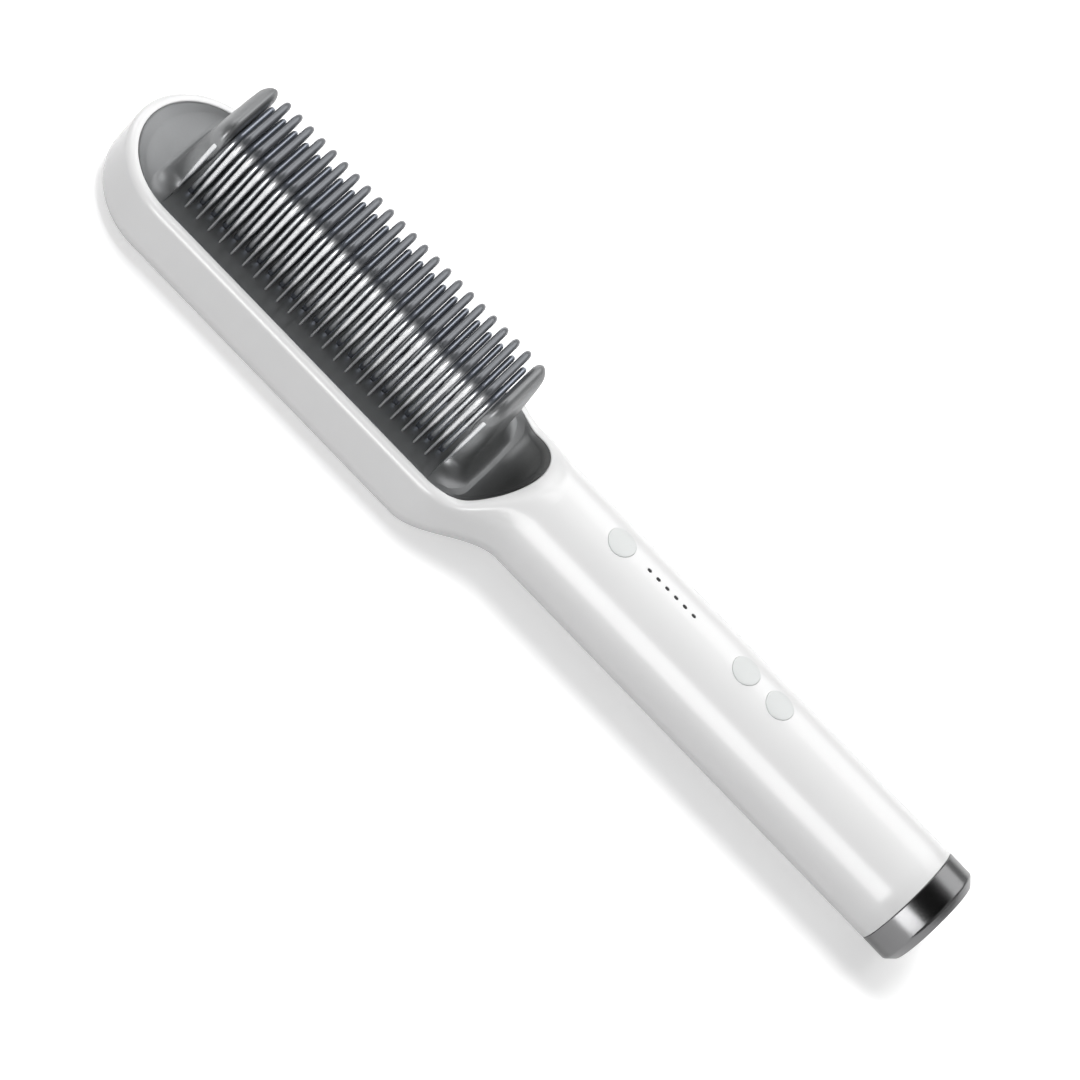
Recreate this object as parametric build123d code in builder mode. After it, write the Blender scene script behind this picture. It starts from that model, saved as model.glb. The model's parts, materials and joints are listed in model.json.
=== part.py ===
from build123d import *
import math
import os

# Hair straightening brush, lying on its back with the teeth up.
# X runs from the head to the handle's end, Y is across, Z is up. The origin is
# the middle of the overall length, on the surface that the back rests on.
# A name that ends in _at is a distance from the head's end, and one that ends in
# _along is a distance from the neck's end. All sizes are in mm.

# White body
handle_length = 127.7
handle_radius = 14.8
handle_wall = 2.0
head_half_width = 21.9
head_depth = 18.0
rim_rise = 1.5
rim_width = 2.8
rim_round = 1.2
head_corner = 7.0
head_wall = 2.0
back_wall = 2.0
opening_length = 128.0
neck_length = 26.3
neck_steps = 6
neck_tuck = 0.15
neck_flat = 0.2
least_round = 0.5
slope_setback = 10.6
slope_angle = 49.5
ledge_reach = 1.0
ledge_thickness = 1.5
parting_rise = 2.2
handle_parting_drop = 10.6
handle_end_length = 9.3

# Guard insert with its blades
fit_gap = 0.15
guard_sink = 0.2
guard_thickness = 3.3
dish_depth = 0.8
dish_round = 4.0
dish_band = 1.35
comb_shift = -0.7
blade_pitch = 3.94
comb_end_margin = 22.5
guard_blade_height = 28.5
guard_blade_half_width = 12.6
guard_blade_shoulder = 12.0
guard_blade_round = 4.5
guard_blade_thickness = 2.1
guard_blade_edge = 0.8
end_blade_step = 4.6
end_blade_foot = 4.6
end_blade_top = 2.4
end_blade_scoop = 0.5
guard_boss_radius = 3.2
guard_boss_inset = 11.5
comb_post_radius = 1.5
comb_post_margin = 7.57
comb_post_inset = 2.1

# Heated comb and what lies under it
heated_blade_height = 25.2
heated_blade_half_width = 10.4
heated_blade_shoulder = 9.8
heated_blade_round = 4.0
heated_blade_thickness = 1.1
heated_blade_edge = 0.6
slot_gap = 0.2
gasket_thickness = 0.5
gasket_width = 1.3
plate_thickness = 2.0
plate_side_gap = 3.9
plate_end_margin = 1.6
heater_margin = 8.57
heater_width = 12.0
heater_thickness = 3.0
film_thickness = 0.3
film_overhang = 1.0
clamp_thickness = 1.0
clamp_gap = 0.5
clamp_foot = 3.6
clamp_margin = 3.0
clamp_screw_margin = 4.0
clamp_screw_bite = 1.6
comb_screw_bite = 1.1
comb_screw_head_radius = 2.2
comb_screw_head_height = 1.2
small_screw_radius = 1.0
small_screw_head_radius = 1.8
screw_head_round = 0.3
screw_cross_depth = 0.6
screw_cross_width = 0.6
screw_cross_reach = 1.2
fuse_radius = 1.7
fuse_length = 11.0
fuse_lead_radius = 0.4
fuse_lead_length = 7.0
thermistor_radius = 1.1
thermistor_length = 4.0
sensor_wire_radius = 0.45
sensor_wire_spread = 0.55
heater_wire_radius = 0.9
heater_wire_inset = 1.35
lead_straight = 8.0
lead_drift = 0.5
lead_rise = 2.0
bend_share = 0.45
shield_side_gap = 3.9
shield_start_at = 5.9
shield_reach = 4.3
shield_thickness = 1.0
shield_wall_height = 6.0
shield_rib_height = 1.5
shield_rib_width = 1.2
shield_rib_spread = 16.0

# Screws that hold the back cover
screw_radius = 1.3
screw_gap = 0.05
screw_head_radius = 2.5
screw_head_height = 1.4
screw_head_gap = 0.15
screw_bite = 7.0
cover_boss_radius = 4.0
head_boss_height = 4.0
handle_boss_lap = 1.6
handle_boss_along = 2.5
rear_boss_along = 94.0
guard_end_boss_reach = 8.9

# Buttons, indicators and electronics
power_button_along = 17.8
up_button_along = 60.8
down_button_along = 72.4
button_radius = 3.95
button_gap = 0.12
button_proud = 0.25
button_travel = 0.4
button_flange_reach = 1.2
button_flange_thickness = 1.1
button_seat_gap = 0.2
button_stem_radius = 1.6
button_stem_length = 1.5
plunger_radius = 1.7
plunger_gap = 0.08
plunger_rise = 0.9
plunger_length = 1.7
switch_size = 6.0
switch_height = 3.4
dots_along = 34.85
dot_pitch = 3.05
dot_count = 6
dot_length = 1.25
dot_width = 0.8
dot_gap = 0.05
dot_sink = 0.05
guide_thickness = 1.3
guide_width = 3.6
guide_margin = 1.5
guide_roof_gap = 0.35
guide_leg_radius = 0.6
led_length = 1.6
led_width = 0.9
led_height = 0.8
led_gap = 0.3
board_start_along = 7.0
board_end_along = 88.0
board_thickness = 1.6
board_side_gap = 2.0
board_boss_radius = 2.2
board_boss_first_along = 9.8
board_boss_middle_along = 51.5
board_boss_last_along = 83.0
board_screw_bite = 5.0
relay_along = 26.0
relay_length = 15.0
relay_width = 11.0
relay_height = 9.5
relay_chamfer = 0.4
capacitor_along = 35.0
capacitor_length = 13.0
capacitor_radius = 4.5
capacitor_round = 0.5
coil_along = 61.0
coil_length = 9.0
coil_width = 9.0
coil_height = 8.0
coil_flange = 1.0
coil_waist = 1.4
chip_along = 73.0
chip_length = 8.0
chip_width = 5.0
chip_height = 1.6
board_part_gap = 0.1

# Handle end with the cord's swivel
spigot_length = 5.0
spigot_gap = 0.1
ring_wall = 1.5
ring_chamfer = 2.2
end_plate_thickness = 4.0
end_plate_sink = 0.6
end_plate_gap = 0.05
ring_lip_reach = 1.0
ring_lip_thickness = 1.0
gland_head_radius = 6.0
gland_head_thickness = 2.0
gland_head_round = 0.5
gland_recess_gap = 0.15
gland_radius = 4.5
gland_gap = 0.05
gland_bore_radius = 3.1
gland_inner_length = 15.0
gland_groove_depth = 0.5
clip_thickness = 0.8
clip_radius = 6.4
clip_gap = 0.1
clip_mouth = 4.0
contact_ring_radius = 5.6
contact_ring_width = 1.5
contact_ring_pitch = 4.5
contact_ring_start = 3.0
contact_ring_seat = 0.03
contact_pin_radius = 0.7
contact_pin_length = 3.0
contact_gap = 0.05
contact_block_length = 9.5
contact_block_clear = 0.9
contact_wire_spread = 5.0
contact_wire_rise = 7.5
contact_wire_dip = 1.4
wire_radius = 0.7

# Places and levels worked out from the sizes
axis_height = head_depth
rim_height = axis_height + rim_rise
opening_radius = head_half_width - rim_width
opening_spacing = opening_length - 2 * opening_radius
opening_at = rim_width + opening_length / 2
neck_start_at = rim_width + opening_length - opening_radius
neck_end_at = neck_start_at + neck_length
shell_end_at = neck_end_at + handle_length
overall_length = shell_end_at + handle_end_length
bore_radius = handle_radius - handle_wall
cavity_radius = head_half_width - head_wall
comb_at = opening_at + comb_shift
guard_top = rim_height - guard_sink
ledge_height = guard_top - guard_thickness
dish_floor = guard_top - dish_depth
blade_pairs = math.floor((opening_length - 2 * comb_end_margin) / blade_pitch)
blade_row_length = blade_pairs * blade_pitch
plate_half_length = blade_row_length / 2 + end_blade_step + plate_end_margin
plate_half_width = cavity_radius - plate_side_gap
comb_post_half_length = plate_half_length - comb_post_margin
comb_post_half_width = plate_half_width - comb_post_inset
heater_length = 2 * (plate_half_length - heater_margin)
clamp_length = heater_length - 2 * clamp_margin
clamp_screw_half_length = clamp_length / 2 - clamp_screw_margin
shield_half_width = cavity_radius - shield_side_gap
shield_end_at = neck_start_at + shield_reach
guard_end_boss_at = neck_start_at + guard_end_boss_reach
dots_at = neck_end_at + dots_along
board_start_at = neck_end_at + board_start_along
board_end_at = neck_end_at + board_end_along
rear_boss_at = neck_end_at + rear_boss_along
plate_top = ledge_height - gasket_thickness
plate_bottom = plate_top - plate_thickness
heater_bottom = plate_bottom - heater_thickness
clamp_top = heater_bottom - film_thickness
clamp_bottom = clamp_top - clamp_thickness
shield_bottom = back_wall + shield_rib_height
handle_parting = axis_height - handle_parting_drop
handle_bottom = axis_height - handle_radius
handle_boss_base = handle_parting + handle_boss_lap
head_boss_top = back_wall + head_boss_height
button_flange_radius = button_radius + button_flange_reach
flange_top = axis_height + math.sqrt(bore_radius**2 - button_flange_radius**2) - button_seat_gap
flange_bottom = flange_top - button_flange_thickness
stem_bottom = flange_bottom - button_stem_length
switch_top = stem_bottom - plunger_rise
board_top = switch_top - switch_height
board_bottom = board_top - board_thickness
board_half_width = math.sqrt(bore_radius**2 - (board_top - axis_height) ** 2) - board_side_gap
guide_top = axis_height + bore_radius - guide_roof_gap
guide_bottom = guide_top - guide_thickness
above_all = axis_height + guard_blade_height + handle_radius


def station(distance):
    """X of a place that lies this far from the head's end."""
    return distance - overall_length / 2


def neck_form(inset):
    """Smooth neck from the head's rounded box to the round handle, inset from the skin."""
    end_half = handle_radius - neck_tuck
    end_corner = end_half - neck_flat
    with BuildPart() as neck:
        for step in range(neck_steps + 1):
            along = step / neck_steps
            ease = along * along * (3 - 2 * along)
            half_width = head_half_width + (end_half - head_half_width) * ease - inset
            top = rim_height + (end_half - rim_rise) * ease - inset
            bottom = (handle_bottom + neck_tuck) * ease + inset
            top_round = rim_round + (end_corner - rim_round) * ease - inset
            bottom_round = head_corner + (end_corner - head_corner) * ease - inset
            with BuildSketch(Plane.YZ.offset(station(neck_start_at + along * neck_length))) as section:
                with Locations((0, (top + bottom) / 2)):
                    Rectangle(2 * half_width, top - bottom)
                fillet(section.vertices().group_by(Axis.Y)[-1], max(top_round, least_round))
                fillet(section.vertices().group_by(Axis.Y)[0], max(bottom_round, least_round))
        loft()
    return neck.part


def front_cut(drop):
    """Space in front of the rim plane and of the slope up to the handle, both sunk by a drop."""
    angle = math.radians(slope_angle)
    foot = station(neck_start_at + slope_setback) + drop * math.tan(angle / 2)
    rise = handle_radius + handle_wall
    with BuildPart() as cut:
        with BuildSketch(Plane.XZ):
            with BuildLine():
                Polyline(
                    (station(-rim_width), rim_height - drop),
                    (foot, rim_height - drop),
                    (foot + rise / math.tan(angle), rim_height - drop + rise),
                    (foot + rise / math.tan(angle), above_all),
                    (station(-rim_width), above_all),
                    close=True,
                )
            make_face()
        extrude(amount=2 * head_half_width, both=True)
    return cut.part


def blade_form(foot, height, half_width, shoulder, shoulder_round, thickness, edge):
    """Comb blade: lens-shaped in plan, with straight sides and a low crown in side view."""
    with BuildPart() as blade:
        with BuildSketch(Plane.XY.offset(foot)):
            with BuildLine():
                ThreePointArc((-edge / 2, -half_width), (-thickness / 2, 0), (-edge / 2, half_width))
                Line((-edge / 2, half_width), (edge / 2, half_width))
                ThreePointArc((edge / 2, half_width), (thickness / 2, 0), (edge / 2, -half_width))
                Line((edge / 2, -half_width), (-edge / 2, -half_width))
            make_face()
        extrude(amount=axis_height + height - foot)
        with BuildSketch(Plane.YZ) as side:
            with BuildLine():
                Polyline(
                    (-half_width, foot),
                    (-shoulder, axis_height + height),
                    (shoulder, axis_height + height),
                    (half_width, foot),
                    close=True,
                )
            make_face()
            fillet(side.vertices().group_by(Axis.Y)[-1], shoulder_round)
        extrude(amount=half_width, both=True, mode=Mode.INTERSECT)
    return blade.part


def end_blade_form(outward):
    """Thick end blade of the guard, whose hollow outer face sweeps out towards its foot."""
    inner = -outward * guard_blade_thickness / 2
    foot = (inner + outward * end_blade_foot, ledge_height)
    crown = (inner + outward * end_blade_top, axis_height + guard_blade_height)
    waist = ((foot[0] + crown[0]) / 2 - outward * end_blade_scoop, (foot[1] + crown[1]) / 2)
    with BuildPart() as blade:
        add(
            blade_form(
                ledge_height,
                guard_blade_height,
                guard_blade_half_width,
                guard_blade_shoulder,
                guard_blade_round,
                2 * end_blade_foot,
                guard_blade_edge,
            )
        )
        with BuildSketch(Plane.XZ):
            with BuildLine():
                Polyline(crown, (inner, crown[1]), (inner, ledge_height), foot)
                ThreePointArc(foot, waist, crown)
            make_face()
        extrude(amount=head_half_width, both=True, mode=Mode.INTERSECT)
    return blade.part


def lead_form(points, radius):
    """Insulated wire along straight runs joined by bends as wide as the runs allow."""
    bends = []
    for before, corner, after in zip(points, points[1:], points[2:]):
        turn = (Vector(*corner) - Vector(*before)).get_angle(Vector(*after) - Vector(*corner))
        run = min((Vector(*corner) - Vector(*before)).length, (Vector(*after) - Vector(*corner)).length)
        bends.append(bend_share * run / math.tan(math.radians(turn) / 2))
    with BuildPart() as lead:
        with BuildLine() as route:
            FilletPolyline(*points, radius=bends)
        with BuildSketch(Plane(origin=route.line @ 0, z_dir=route.line % 0)):
            Circle(radius)
        sweep()
    return lead.part


# Outside of the white body: head tub, neck and round handle in one form.
# The rim plane and a slope cut off what rises in front of the handle.
with BuildPart() as body_form:
    with BuildSketch():
        with Locations((station(head_half_width), 0)):
            Circle(head_half_width)
        with Locations(((station(head_half_width) + station(neck_start_at)) / 2, 0)):
            Rectangle(neck_start_at - head_half_width, 2 * head_half_width)
    extrude(amount=rim_height)
    curved_rim = body_form.edges().group_by(Axis.Z)[-1].sort_by(Axis.X)[:-1]
    fillet(curved_rim, rim_round)
    back_edges = body_form.edges().group_by(Axis.Z)[0].sort_by(Axis.X)[:-1]
    fillet(back_edges, head_corner)
    add(neck_form(0))
    with BuildSketch(Plane.YZ.offset(station(neck_end_at))):
        with Locations((0, axis_height)):
            Circle(handle_radius)
    extrude(amount=shell_end_at - neck_end_at)
    add(front_cut(0), mode=Mode.SUBTRACT)

# Inside of the white body, open to the front through the ledge window.
with BuildPart() as body_hollow:
    with BuildSketch(Plane.XY.offset(back_wall)):
        with Locations((station(head_half_width), 0)):
            Circle(cavity_radius)
        with Locations(((station(head_half_width) + station(neck_start_at)) / 2, 0)):
            Rectangle(neck_start_at - head_half_width, 2 * cavity_radius)
    extrude(amount=ledge_height - ledge_thickness - back_wall)
    floor_edges = body_hollow.edges().group_by(Axis.Z)[0].sort_by(Axis.X)[:-1]
    fillet(floor_edges, head_corner - head_wall)
    add(neck_form(handle_wall))
    with BuildSketch(Plane.YZ.offset(station(neck_end_at))):
        with Locations((0, axis_height)):
            Circle(bore_radius)
    extrude(amount=overall_length - neck_end_at)
    add(front_cut(handle_wall), mode=Mode.SUBTRACT)
    with BuildSketch(Plane.XY.offset(ledge_height - ledge_thickness)):
        with Locations((station(opening_at), 0)):
            SlotCenterToCenter(opening_spacing, 2 * (opening_radius - ledge_reach))
    extrude(amount=ledge_thickness)
    with BuildSketch(Plane.XY.offset(ledge_height)):
        with Locations((station(opening_at), 0)):
            SlotCenterToCenter(opening_spacing, 2 * opening_radius)
    extrude(amount=above_all - ledge_height)

# What lies below the parting line belongs to the back cover.
with BuildPart() as below_parting:
    with BuildSketch(Plane.XZ):
        with BuildLine():
            Polyline(
                (station(0) - rim_width, -rim_width),
                (station(0) - rim_width, parting_rise),
                (station(neck_start_at), parting_rise),
                (station(neck_end_at), handle_parting),
                (station(overall_length) + rim_width, handle_parting),
                (station(overall_length) + rim_width, -rim_width),
                close=True,
            )
        make_face()
    extrude(amount=2 * head_half_width, both=True)

cover_boss_places = [station(neck_end_at + handle_boss_along), station(rear_boss_at)]
guard_boss_places = [station(guard_boss_inset), station(guard_end_boss_at)]
button_places = [
    station(neck_end_at + along) for along in (power_button_along, up_button_along, down_button_along)
]
board_boss_places = [
    station(neck_end_at + along)
    for along in (board_boss_first_along, board_boss_middle_along, board_boss_last_along)
]

# Front shell: the white body with the opening for the comb, the button holes,
# the indicator slots and the bosses for the board and the back cover.
with BuildPart() as front_shell:
    add(body_form.part)
    add(body_hollow.part, mode=Mode.SUBTRACT)
    add(below_parting.part, mode=Mode.SUBTRACT)
    with BuildSketch(Plane.XY.offset(handle_boss_base)):
        with Locations(*[(x, 0) for x in cover_boss_places]):
            Circle(guard_boss_radius)
    extrude(amount=axis_height + bore_radius + handle_wall / 2 - handle_boss_base)
    with BuildSketch(Plane.XY.offset(board_top)):
        with Locations(*[(x, 0) for x in board_boss_places]):
            Circle(board_boss_radius)
    extrude(amount=axis_height + bore_radius + handle_wall / 2 - board_top)
    with BuildSketch(Plane.XY.offset(handle_boss_base)):
        with Locations(*[(x, 0) for x in cover_boss_places]):
            Circle(screw_radius + screw_gap)
    extrude(amount=screw_bite + screw_gap, mode=Mode.SUBTRACT)
    with BuildSketch(Plane.XY.offset(board_top)):
        with Locations(*[(x, 0) for x in board_boss_places]):
            Circle(small_screw_radius + screw_gap)
    extrude(amount=board_screw_bite + screw_gap, mode=Mode.SUBTRACT)
    with BuildSketch(Plane.XY.offset(flange_top)):
        with Locations(*[(x, 0) for x in button_places]):
            Circle(button_radius + button_gap)
    extrude(amount=above_all - flange_top, mode=Mode.SUBTRACT)
    with BuildSketch(Plane.XY.offset(guide_top)):
        with Locations((station(dots_at), 0)):
            with GridLocations(dot_pitch, 0, dot_count, 1):
                SlotOverall(dot_length, dot_width)
    extrude(amount=above_all - guide_top, mode=Mode.SUBTRACT)
front_shell.part.label = "front_shell"

# Back cover: the rest of the body, with counterbored bosses and two long ribs
# that carry the heat shield.
with BuildPart() as back_cover:
    add(body_form.part)
    add(body_hollow.part, mode=Mode.SUBTRACT)
    add(below_parting.part, mode=Mode.INTERSECT)
    with BuildSketch(Plane.XY.offset(back_wall / 2)):
        with Locations(*[(x, 0) for x in guard_boss_places]):
            Circle(cover_boss_radius)
    extrude(amount=head_boss_top - back_wall / 2)
    with BuildSketch(Plane.XY.offset(handle_bottom + handle_wall / 2)):
        with Locations(*[(x, 0) for x in cover_boss_places]):
            Circle(cover_boss_radius)
    extrude(amount=handle_boss_base - handle_bottom - handle_wall / 2)
    rib_start = station(guard_boss_inset + 2 * cover_boss_radius)
    rib_end = station(shield_end_at - shield_half_width)
    with BuildSketch(Plane.XY.offset(back_wall / 2)):
        with Locations(((rib_start + rib_end) / 2, 0)):
            with GridLocations(0, shield_rib_spread, 1, 2):
                Rectangle(rib_end - rib_start, shield_rib_width)
    extrude(amount=shield_bottom - back_wall / 2)
    with BuildSketch(Plane.XY.offset(-rim_width)):
        with Locations(*[(x, 0) for x in guard_boss_places + cover_boss_places]):
            Circle(screw_radius + screw_gap)
    extrude(amount=handle_boss_base + 2 * rim_width, mode=Mode.SUBTRACT)
    with BuildSketch():
        with Locations(*[(x, 0) for x in guard_boss_places]):
            Circle(screw_head_radius + screw_head_gap)
    extrude(amount=screw_head_height + screw_head_gap, mode=Mode.SUBTRACT)
    with BuildSketch():
        with Locations(*[(x, 0) for x in cover_boss_places]):
            Circle(screw_head_radius + screw_head_gap)
    extrude(amount=handle_bottom + screw_head_height + screw_head_gap, mode=Mode.SUBTRACT)
back_cover.part.label = "back_cover"

# Guard insert: a tray that fills the opening, with a dished floor, a raised
# curb at the handle's end, slots for the heated fins and the guard blades.
guard_radius = opening_radius - fit_gap
dish_radius = guard_radius - dish_band
guard_blade = blade_form(
    ledge_height,
    guard_blade_height,
    guard_blade_half_width,
    guard_blade_shoulder,
    guard_blade_round,
    guard_blade_thickness,
    guard_blade_edge,
)
with BuildPart() as dish:
    with BuildSketch(Plane.XY.offset(dish_floor)):
        with Locations((station(opening_at), 0)):
            SlotCenterToCenter(opening_spacing, 2 * dish_radius)
    extrude(amount=above_all - dish_floor)
    fillet(dish.edges().group_by(Axis.Z)[0], dish_round)


def post_places():
    """Corners of the comb's plate where the guard's posts stand."""
    return GridLocations(2 * comb_post_half_length, 2 * comb_post_half_width, 2, 2)


with BuildPart() as comb_guard:
    with BuildSketch(Plane.XY.offset(ledge_height)):
        with Locations((station(opening_at), 0)):
            SlotCenterToCenter(opening_spacing, 2 * guard_radius)
    extrude(amount=handle_radius + rim_rise)
    add(front_cut(guard_sink), mode=Mode.SUBTRACT)
    add(dish.part, mode=Mode.SUBTRACT)
    with BuildSketch(Plane.XY.offset(head_boss_top)):
        with Locations(*[(x, 0) for x in guard_boss_places]):
            Circle(guard_boss_radius)
    extrude(amount=ledge_height - head_boss_top)
    with BuildSketch(Plane.XY.offset(plate_bottom)):
        with Locations((station(comb_at), 0)):
            with post_places():
                Circle(comb_post_radius)
    extrude(amount=ledge_height - plate_bottom)
    with Locations((station(comb_at), 0)):
        with GridLocations(blade_pitch, 0, blade_pairs + 1, 1):
            add(guard_blade)
    with Locations((station(comb_at) - blade_row_length / 2 - end_blade_step, 0)):
        add(end_blade_form(-1))
    with Locations((station(comb_at) + blade_row_length / 2 + end_blade_step, 0)):
        add(end_blade_form(1))
    with BuildSketch(Plane.XY.offset(ledge_height)):
        with Locations((station(comb_at), 0)):
            with GridLocations(blade_pitch, 0, blade_pairs + 2, 1):
                Rectangle(
                    heated_blade_thickness + 2 * slot_gap,
                    2 * (heated_blade_half_width + slot_gap),
                )
    extrude(amount=guard_thickness, mode=Mode.SUBTRACT)
    with BuildSketch(Plane.XY.offset(head_boss_top)):
        with Locations(*[(x, 0) for x in guard_boss_places]):
            Circle(screw_radius + screw_gap)
    extrude(amount=screw_bite + screw_gap, mode=Mode.SUBTRACT)
    with BuildSketch(Plane.XY.offset(plate_bottom)):
        with Locations((station(comb_at), 0)):
            with post_places():
                Circle(small_screw_radius + screw_gap)
    extrude(amount=ledge_height + comb_screw_bite + screw_gap - plate_bottom, mode=Mode.SUBTRACT)
comb_guard.part.label = "comb_guard"

# Heated comb: an aluminium plate whose fins stand up through the guard's slots.
heated_blade = blade_form(
    plate_bottom + plate_thickness / 2,
    heated_blade_height,
    heated_blade_half_width,
    heated_blade_shoulder,
    heated_blade_round,
    heated_blade_thickness,
    heated_blade_edge,
)
clamp_foot_at = heater_width / 2 + clamp_gap + clamp_thickness + clamp_foot / 2


def clamp_screw_places():
    """Corners of the clamp's feet."""
    return GridLocations(2 * clamp_screw_half_length, 2 * clamp_foot_at, 2, 2)


with BuildPart() as heating_comb:
    with BuildSketch(Plane.XY.offset(plate_bottom)):
        with Locations((station(comb_at), 0)):
            RectangleRounded(2 * plate_half_length, 2 * plate_half_width, comb_post_radius)
    extrude(amount=plate_thickness)
    with Locations((station(comb_at), 0)):
        with GridLocations(blade_pitch, 0, blade_pairs + 2, 1):
            add(heated_blade)
    with BuildSketch(Plane.XY.offset(plate_bottom)):
        with Locations((station(comb_at), 0)):
            with post_places():
                Circle(comb_post_radius + fit_gap)
    extrude(amount=plate_thickness, mode=Mode.SUBTRACT)
    with BuildSketch(Plane.XY.offset(plate_bottom)):
        with Locations((station(comb_at), 0)):
            with clamp_screw_places():
                Circle(small_screw_radius + screw_gap)
    extrude(amount=plate_thickness, mode=Mode.SUBTRACT)
heating_comb.part.label = "heating_comb"

# Silicone frame between the guard and the hot plate.
with BuildPart() as gasket:
    with BuildSketch(Plane.XY.offset(plate_top)):
        frame_inner = heated_blade_half_width + slot_gap + fit_gap
        frame_half_length = plate_half_length - plate_end_margin / 2
        with Locations((station(comb_at), 0)):
            Rectangle(2 * frame_half_length, 2 * (frame_inner + gasket_width))
            Rectangle(2 * (frame_half_length - gasket_width), 2 * frame_inner, mode=Mode.SUBTRACT)
    extrude(amount=gasket_thickness)
gasket.part.label = "gasket"

# Heater bar with its ceramic elements in an aluminium sleeve.
with BuildPart() as heater_bar:
    with BuildSketch(Plane.XY.offset(heater_bottom)):
        with Locations((station(comb_at), 0)):
            Rectangle(heater_length, heater_width)
    extrude(amount=heater_thickness)
heater_bar.part.label = "heater_bar"

# Insulation film between the heater bar and its clamp.
with BuildPart() as insulation_film:
    with BuildSketch(Plane.XY.offset(clamp_top)):
        with Locations((station(comb_at), 0)):
            Rectangle(heater_length + 2 * film_overhang, heater_width)
    extrude(amount=film_thickness)
insulation_film.part.label = "insulation_film"

# Steel clamp with a hat section, screwed to the hot plate beside the heater.
with BuildPart() as heater_clamp:
    with BuildSketch(Plane.YZ.offset(station(comb_at))):
        hat_inner = heater_width / 2 + clamp_gap
        hat_outer = hat_inner + clamp_thickness
        with BuildLine():
            Polyline(
                (-hat_outer - clamp_foot, plate_bottom),
                (-hat_inner, plate_bottom),
                (-hat_inner, clamp_top),
                (hat_inner, clamp_top),
                (hat_inner, plate_bottom),
                (hat_outer + clamp_foot, plate_bottom),
                (hat_outer + clamp_foot, plate_bottom - clamp_thickness),
                (hat_outer, plate_bottom - clamp_thickness),
                (hat_outer, clamp_bottom),
                (-hat_outer, clamp_bottom),
                (-hat_outer, plate_bottom - clamp_thickness),
                (-hat_outer - clamp_foot, plate_bottom - clamp_thickness),
                close=True,
            )
        make_face()
    extrude(amount=clamp_length / 2, both=True)
    with BuildSketch(Plane.XY.offset(plate_bottom - clamp_thickness)):
        with Locations((station(comb_at), 0)):
            with clamp_screw_places():
                Circle(small_screw_radius + screw_gap)
    extrude(amount=clamp_thickness, mode=Mode.SUBTRACT)
heater_clamp.part.label = "heater_clamp"


def screw_form(head_bottom, head_radius, head_height, shank_radius, reach):
    """Screw that points up, with a cross in its pan head."""
    with BuildPart() as screw:
        with BuildSketch(Plane.XY.offset(head_bottom)):
            Circle(head_radius)
        extrude(amount=head_height)
        fillet(screw.edges().group_by(Axis.Z)[0], screw_head_round)
        with BuildSketch(Plane.XY.offset(head_bottom + head_height)):
            Circle(shank_radius)
        extrude(amount=reach)
        with BuildSketch(Plane.XY.offset(head_bottom)):
            Rectangle(2 * screw_cross_reach, screw_cross_width)
            Rectangle(screw_cross_width, 2 * screw_cross_reach)
        extrude(amount=screw_cross_depth, mode=Mode.SUBTRACT)
    return screw.part


clamp_screw = screw_form(
    plate_bottom - clamp_thickness - comb_screw_head_height,
    small_screw_head_radius,
    comb_screw_head_height,
    small_screw_radius,
    clamp_thickness + clamp_screw_bite,
)
with BuildPart() as clamp_screws:
    with Locations((station(comb_at), 0)):
        with clamp_screw_places():
            add(clamp_screw)
clamp_screws.part.label = "clamp_screws"

comb_screw = screw_form(
    plate_bottom - comb_screw_head_height,
    comb_screw_head_radius,
    comb_screw_head_height,
    small_screw_radius,
    ledge_height + comb_screw_bite - plate_bottom,
)
with BuildPart() as comb_screws:
    with Locations((station(comb_at), 0)):
        with post_places():
            add(comb_screw)
comb_screws.part.label = "comb_screws"

# Thermal fuse under the clamp, with its two short leads.
with BuildPart() as thermal_fuse:
    with BuildSketch(Plane.YZ.offset(station(comb_at))):
        with Locations((0, clamp_bottom - fuse_radius - screw_gap)):
            Circle(fuse_radius)
    extrude(amount=fuse_length / 2, both=True)
    with BuildSketch(Plane.YZ.offset(station(comb_at))):
        with Locations((0, clamp_bottom - fuse_radius - screw_gap)):
            Circle(fuse_lead_radius)
    extrude(amount=fuse_length / 2 + fuse_lead_length, both=True)
thermal_fuse.part.label = "thermal_fuse"

# Thermistor bead against the hot plate, at the handle's end of the clamp.
thermistor_at = comb_at + clamp_length / 2 + thermistor_length
wire_side = cover_boss_radius + 2 * heater_wire_radius
thermistor_side = wire_side + heater_wire_radius + 4 * sensor_wire_radius
thermistor_level = plate_bottom - thermistor_radius - screw_gap
with BuildPart() as thermistor:
    with BuildSketch(Plane.YZ.offset(station(thermistor_at))):
        with Locations((thermistor_side, thermistor_level)):
            Circle(thermistor_radius)
    extrude(amount=thermistor_length / 2, both=True)
thermistor.part.label = "thermistor"

# Heat shield: a thin tray on the back cover's ribs.
with BuildPart() as heat_shield:
    shield_length = shield_end_at - shield_start_at
    with BuildSketch(Plane.XY.offset(shield_bottom)):
        with Locations((station((shield_start_at + shield_end_at) / 2), 0)):
            SlotOverall(shield_length, 2 * shield_half_width)
    extrude(amount=shield_wall_height)
    with BuildSketch(Plane.XY.offset(shield_bottom + shield_thickness)):
        with Locations((station((shield_start_at + shield_end_at) / 2), 0)):
            SlotOverall(
                shield_length - 2 * shield_thickness,
                2 * (shield_half_width - shield_thickness),
            )
    extrude(amount=shield_wall_height, mode=Mode.SUBTRACT)
    with BuildSketch(Plane.XY.offset(shield_bottom)):
        with Locations((station(guard_boss_inset), 0)):
            Circle(cover_boss_radius + fit_gap)
    extrude(amount=shield_thickness, mode=Mode.SUBTRACT)
heat_shield.part.label = "heat_shield"

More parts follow.
